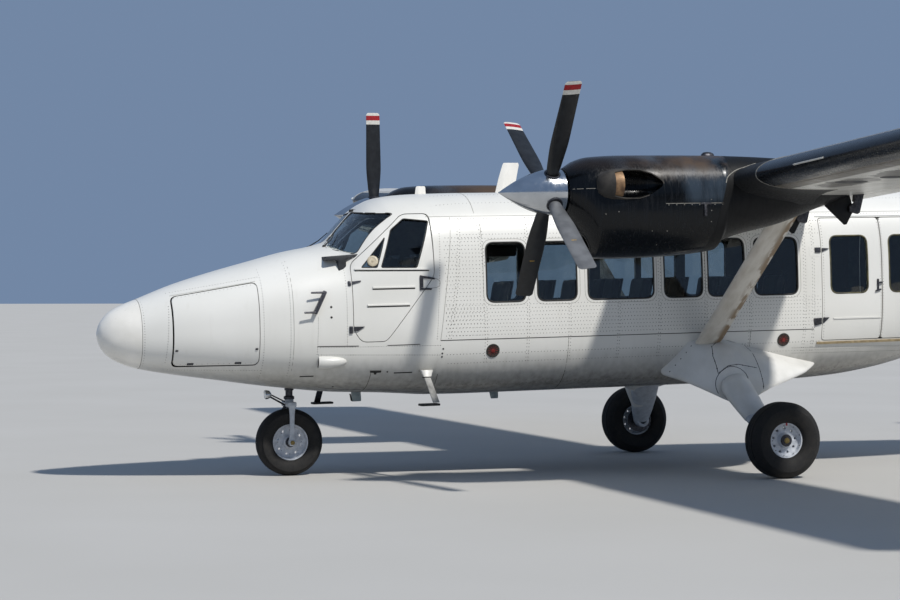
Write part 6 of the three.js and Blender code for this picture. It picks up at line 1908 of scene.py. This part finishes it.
def stuffed():
    """A blown-up pad with a crown and two sewn channels, as a mesh in millimetres"""
    bm = bmesh.new()
    bmesh.ops.create_cube(bm, size=1, matrix=Matrix.Diagonal((*(PAD_SIZE * 0.92 / 1000), 1)))
    bmesh.ops.subdivide_edges(bm, edges=bm.edges, cuts=3, use_grid_fill=True)
    bmesh.ops.bevel(bm, geom=[edge for edge in bm.edges if edge.calc_face_angle(0) > 1], offset=0.022, segments=3,
                    profile=0.5, affect="EDGES", material=-1)
    mesh = bpy.data.meshes.new("pad")
    bm.to_mesh(mesh)
    bm.free()
    pad = new_object("pad", mesh)
    voxels = pad.modifiers.new("voxels", "REMESH")
    voxels.mode = "VOXEL"
    voxels.voxel_size = PAD_VOXEL
    even = bpy.data.meshes.new_from_object(pad.evaluated_get(bpy.context.evaluated_depsgraph_get()))
    pad.modifiers.clear()
    pad.data = even
    blown(pad)
    made = bmesh.new()
    made.from_mesh(even)
    bpy.data.objects.remove(pad)
    for spent in (mesh, even):
        bpy.data.meshes.remove(spent)
    bmesh.ops.scale(made, vec=(1000, 1000, 1000), verts=made.verts)
    bmesh.ops.smooth_vert(made, verts=made.verts, factor=0.5, use_axis_x=True, use_axis_y=True, use_axis_z=True)
    for vert in made.verts:
        across, length = vert.co.y / (PAD_SIZE.y / 2), vert.co.x / (PAD_SIZE.x / 2)
        crown = max(0.0, 1 - across ** 2) * max(0.0, 1 - length ** 2)
        groove = sum(exp(-((across - line) / 0.05) ** 2) for line in (-0.36, 0.36))
        if vert.co.z > 0:
            vert.co.z += 16 * crown - 7 * groove * max(0.0, 1 - length ** 4)
    return made


def fitted(pad, centre, size, lean=0.0):
    """A copy of the pad at another size and place, turned back about the line across it"""
    bm = pad.copy()
    scale = Matrix.Diagonal((*(s / full for s, full in zip(size, PAD_SIZE)), 1))
    bm.transform(Matrix.Translation(centre) @ Matrix.Rotation(lean, 4, "Y") @ scale)
    return bm


def seating(name, seats, pad, node, feet):
    """Cushions and backs of a group of seats on their frames, with feet at distances from each seat's sides"""
    cushions, backs, frames = [], [], []
    for station, y, width, cushion, top in seats:
        cushions.append(fitted(pad, at(station + 212, y, cushion - 58), (416, width - 14, 104)))
        low, high = Vector((station + 385, cushion - 60)), Vector((station + 473, top - 22))
        way, middle = high - low, (low + high) / 2
        backs.append(fitted(pad, at(middle.x, y, middle.y), (way.length, width - 14, 78), atan2(way.y, way.x) - pi))
        half = width / 2
        frames.append(softened(block((station + 14, station + 416), (y - half + 12, y + half - 12),
                                     (cushion - 128, cushion - 114)), 5))
        back = [(station + 424, cushion - 90), (station + 438, cushion - 90), (station + 524, top - 40),
                (station + 510, top - 40)]
        frames.append(softened(prism("side", back, y - half + 14, y + half - 14), 5))
        for leg_y in (y - half + feet[0], y + half - feet[1]):
            for foot in (station + 110, station + 320):
                frames.append(rod(at(foot, leg_y, FLOOR_TOP - 4), at(foot, leg_y, cushion - 120), 13))
            frames.append(rod(at(station + 110, leg_y, FLOOR_TOP + 30), at(station + 320, leg_y, cushion - 150), 9))
    for kind, parts in (("cushions", cushions), ("backs", backs)):
        made = piece(f"{name}_{kind}", parts, CLOTH)
        finer = made.modifiers.new("finer", "SUBSURF")
        finer.levels = finer.render_levels = 1
    piece(f"{name}_frames", frames, STEEL, slot="seat_fabric", nodes=[node])


def dials():
    rims, faces, hands = [], [], []
    spots = [(y, 2140 - 110 * row) for side, _ in SIDES for y in range(side * 250, side * 690, side * 110)
             for row in range(3)]
    spots += [(y, 2150 - 76 * row) for y in (-110, -37, 37, 110) for row in range(4)]
    for y, z in spots:
        radius = 41 if abs(y) > 200 else 28
        place = at(2330, y, z)
        rim = [(radius - 5, -2), (radius + 4, -2), (radius + 4, 5), (radius - 5, 7)]
        rims.append(turned(rim, place, (-1, 0, 0), 24))
        faces.append(turned([(0, -1), (radius - 4, -1), (radius - 4, 2), (0, 2)], place, (-1, 0, 0), 20))
        turn = (y * 0.021 + z * 0.017) % tau
        tip = place + Vector((-3, sin(turn) * radius * 0.7, cos(turn) * radius * 0.7))
        hands.append(rod(place + Vector((-3, 0, 0)), tip, 1.6, 1, 6))
    piece("dial_rims", rims, RUBBER)
    piece("dial_faces", faces, BOOT, slot="panel_plastic")
    piece("dial_hands", hands, BAND_WHITE, slot="panel_plastic")


def panel():
    """Instrument board with its dials, the control wheels, the console and the levers overhead"""
    board = softened(prism("side", INSTRUMENT_BOARD, -738, 738), 6)
    console = softened(block((2332, 2598), (-128, 128), (FLOOR_TOP - 2, 1640)), 14)
    piece("instrument_board", [board, console], PANEL_PAINT, nodes=["instrument_panel"])
    dials()
    controls = []
    for side, _ in SIDES:
        hub = at(2480, side * 380, 1960)
        wheel = [(hub + Vector((0, 150 * sin(a), 118 * cos(a) - 10)), Vector((1, 0, 0)))
                 for a in (radians(d) for d in range(60, 301, 12))]
        controls += [rod(at(2322, side * 380, 1960), hub, 15), run(wheel, round_bar(13)),
                     rod(hub, hub + Vector((0, 0, -124)), 12), *(rod(hub, wheel[i][0], 10) for i in (0, -1))]
    controls += [rod(at(station + 40, y, 2760), at(station, y, 2610), 6)
                 for station in (2560, 2584) for y in (-60, -20, 20, 60)]
    piece("flight_controls", controls, RUBBER)


def interior():
    pad = stuffed()
    seating("crew", CREW_SEATS, pad, "crew_seats", (30, 30))
    seating("cabin_left", LEFT_SEATS, pad, "cabin_seats_left", (25, 40))
    seating("cabin_right", RIGHT_SEATS, pad, "cabin_seats_right", (70, 70))
    pad.free()
    panel()
    ceiling = carve(solid(*CABIN_RUN, SKIN + 1), block(CABIN_RUN, ACROSS, (2648, 2660)), "INTERSECT")
    piece("ceiling_lining", ceiling, LINING)
    rails = [block((3420, 7180), (y - 9, y + 9), (FLOOR_TOP - 2, FLOOR_TOP + 7)) for y in (430, 620, -300, -600)]
    piece("seat_rails", rails, STEEL)
    piece("window_visor", plate(rectangle(4300, 4660, 2268, 2384), -1, -24, 24, 30), BLIND)
    strap = plate([(4330, 2262), (4330, 2204), (4352, 2204), (4352, 2262)], -1, -24, 0, 30)
    piece("visor_strap", strap, RUBBER)
    for name, (first, last), body in zip(("rear_blind", "door_blind"), DOOR_WINDOWS, ("airframe", "right_door")):
        rows = []
        for z in steps(DOOR_BAND[0] - 6, DOOR_BAND[1] + 6, 12):
            depth = 46 + (3 if round(z / 12) % 2 else 0)
            row = [on_side(s, z, -1, -depth)[0] for s in (first - 6, last + 6)]
            rows.append([*row, *(place + Vector((0, 4, 0)) for place in row[::-1])])
        piece(name, lofted(rows), BLIND, body)


nose()
cockpit()
cabin()
tail()
skin_rivets()
skin_seams()
for side, label in SIDES:
    crew_door_fittings(side, label)
    side_ports(side, label)
    pitot(side, label)
    air_scoop(side, label)
    round_vents(side, label)
for side, label in SIDES:
    boarding_step(side, label)
aerials_and_wipers()
rear_door_fittings()
nose_fittings()
cowls()
exhausts()
cowl_fittings()
# The second blade of the port propeller gets the painted sun sheen
propeller("left", 1, 36.8, worn=1)
propeller("right", -1, 2)
wing_panels()
flap_hangers()
wing_covers()
struts()
fairings()
legs()
wheels()
nose_leg()
fin_rudder()
elevators()
interior()

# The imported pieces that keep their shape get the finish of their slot
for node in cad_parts.values():
    for i, old in enumerate(node.data.materials):
        if old and old.name.split(".")[0] in SLOTS:
            node.data.materials[i] = SLOTS[old.name.split(".")[0]][0]


def studio():
    """Plain pale floor under soft light"""
    bm = bmesh.new()
    bmesh.ops.create_grid(bm, x_segments=1, y_segments=1, size=400)
    mesh = bpy.data.meshes.new("floor")
    bm.to_mesh(mesh)
    bm.free()
    made, node, shader, place = blank("pale_floor")
    tone = node("TexNoise", (place, 0, UNIT / 3000, 2, ROUGH))
    colour = node("Mix", {0: tone, 6: "#b4b2ad", 7: "#bebcb8"}, **COLOURS)
    feed(shader, {"Base Color": colour, "Roughness": 0.9})
    mesh.materials.append(made)
    new_object("floor", mesh)

    world = bpy.data.worlds.new("sky")
    world.use_nodes = True
    feed(world.node_tree.nodes["Background"], {"Color": "#a2bee6", "Strength": 0.47})
    bpy.context.scene.world = world

    sun = bpy.data.lights.new("key", "SUN")
    sun.energy = 3.5
    sun.angle = radians(3)
    sun.color = (1.0, 0.97, 0.92)
    key = new_object("key", sun)
    key.matrix_world = Vector((0.42, -1.0, -1.3)).to_track_quat("-Z", "Y").to_matrix().to_4x4()
    bpy.context.scene.view_settings.view_transform = "Standard"


studio()
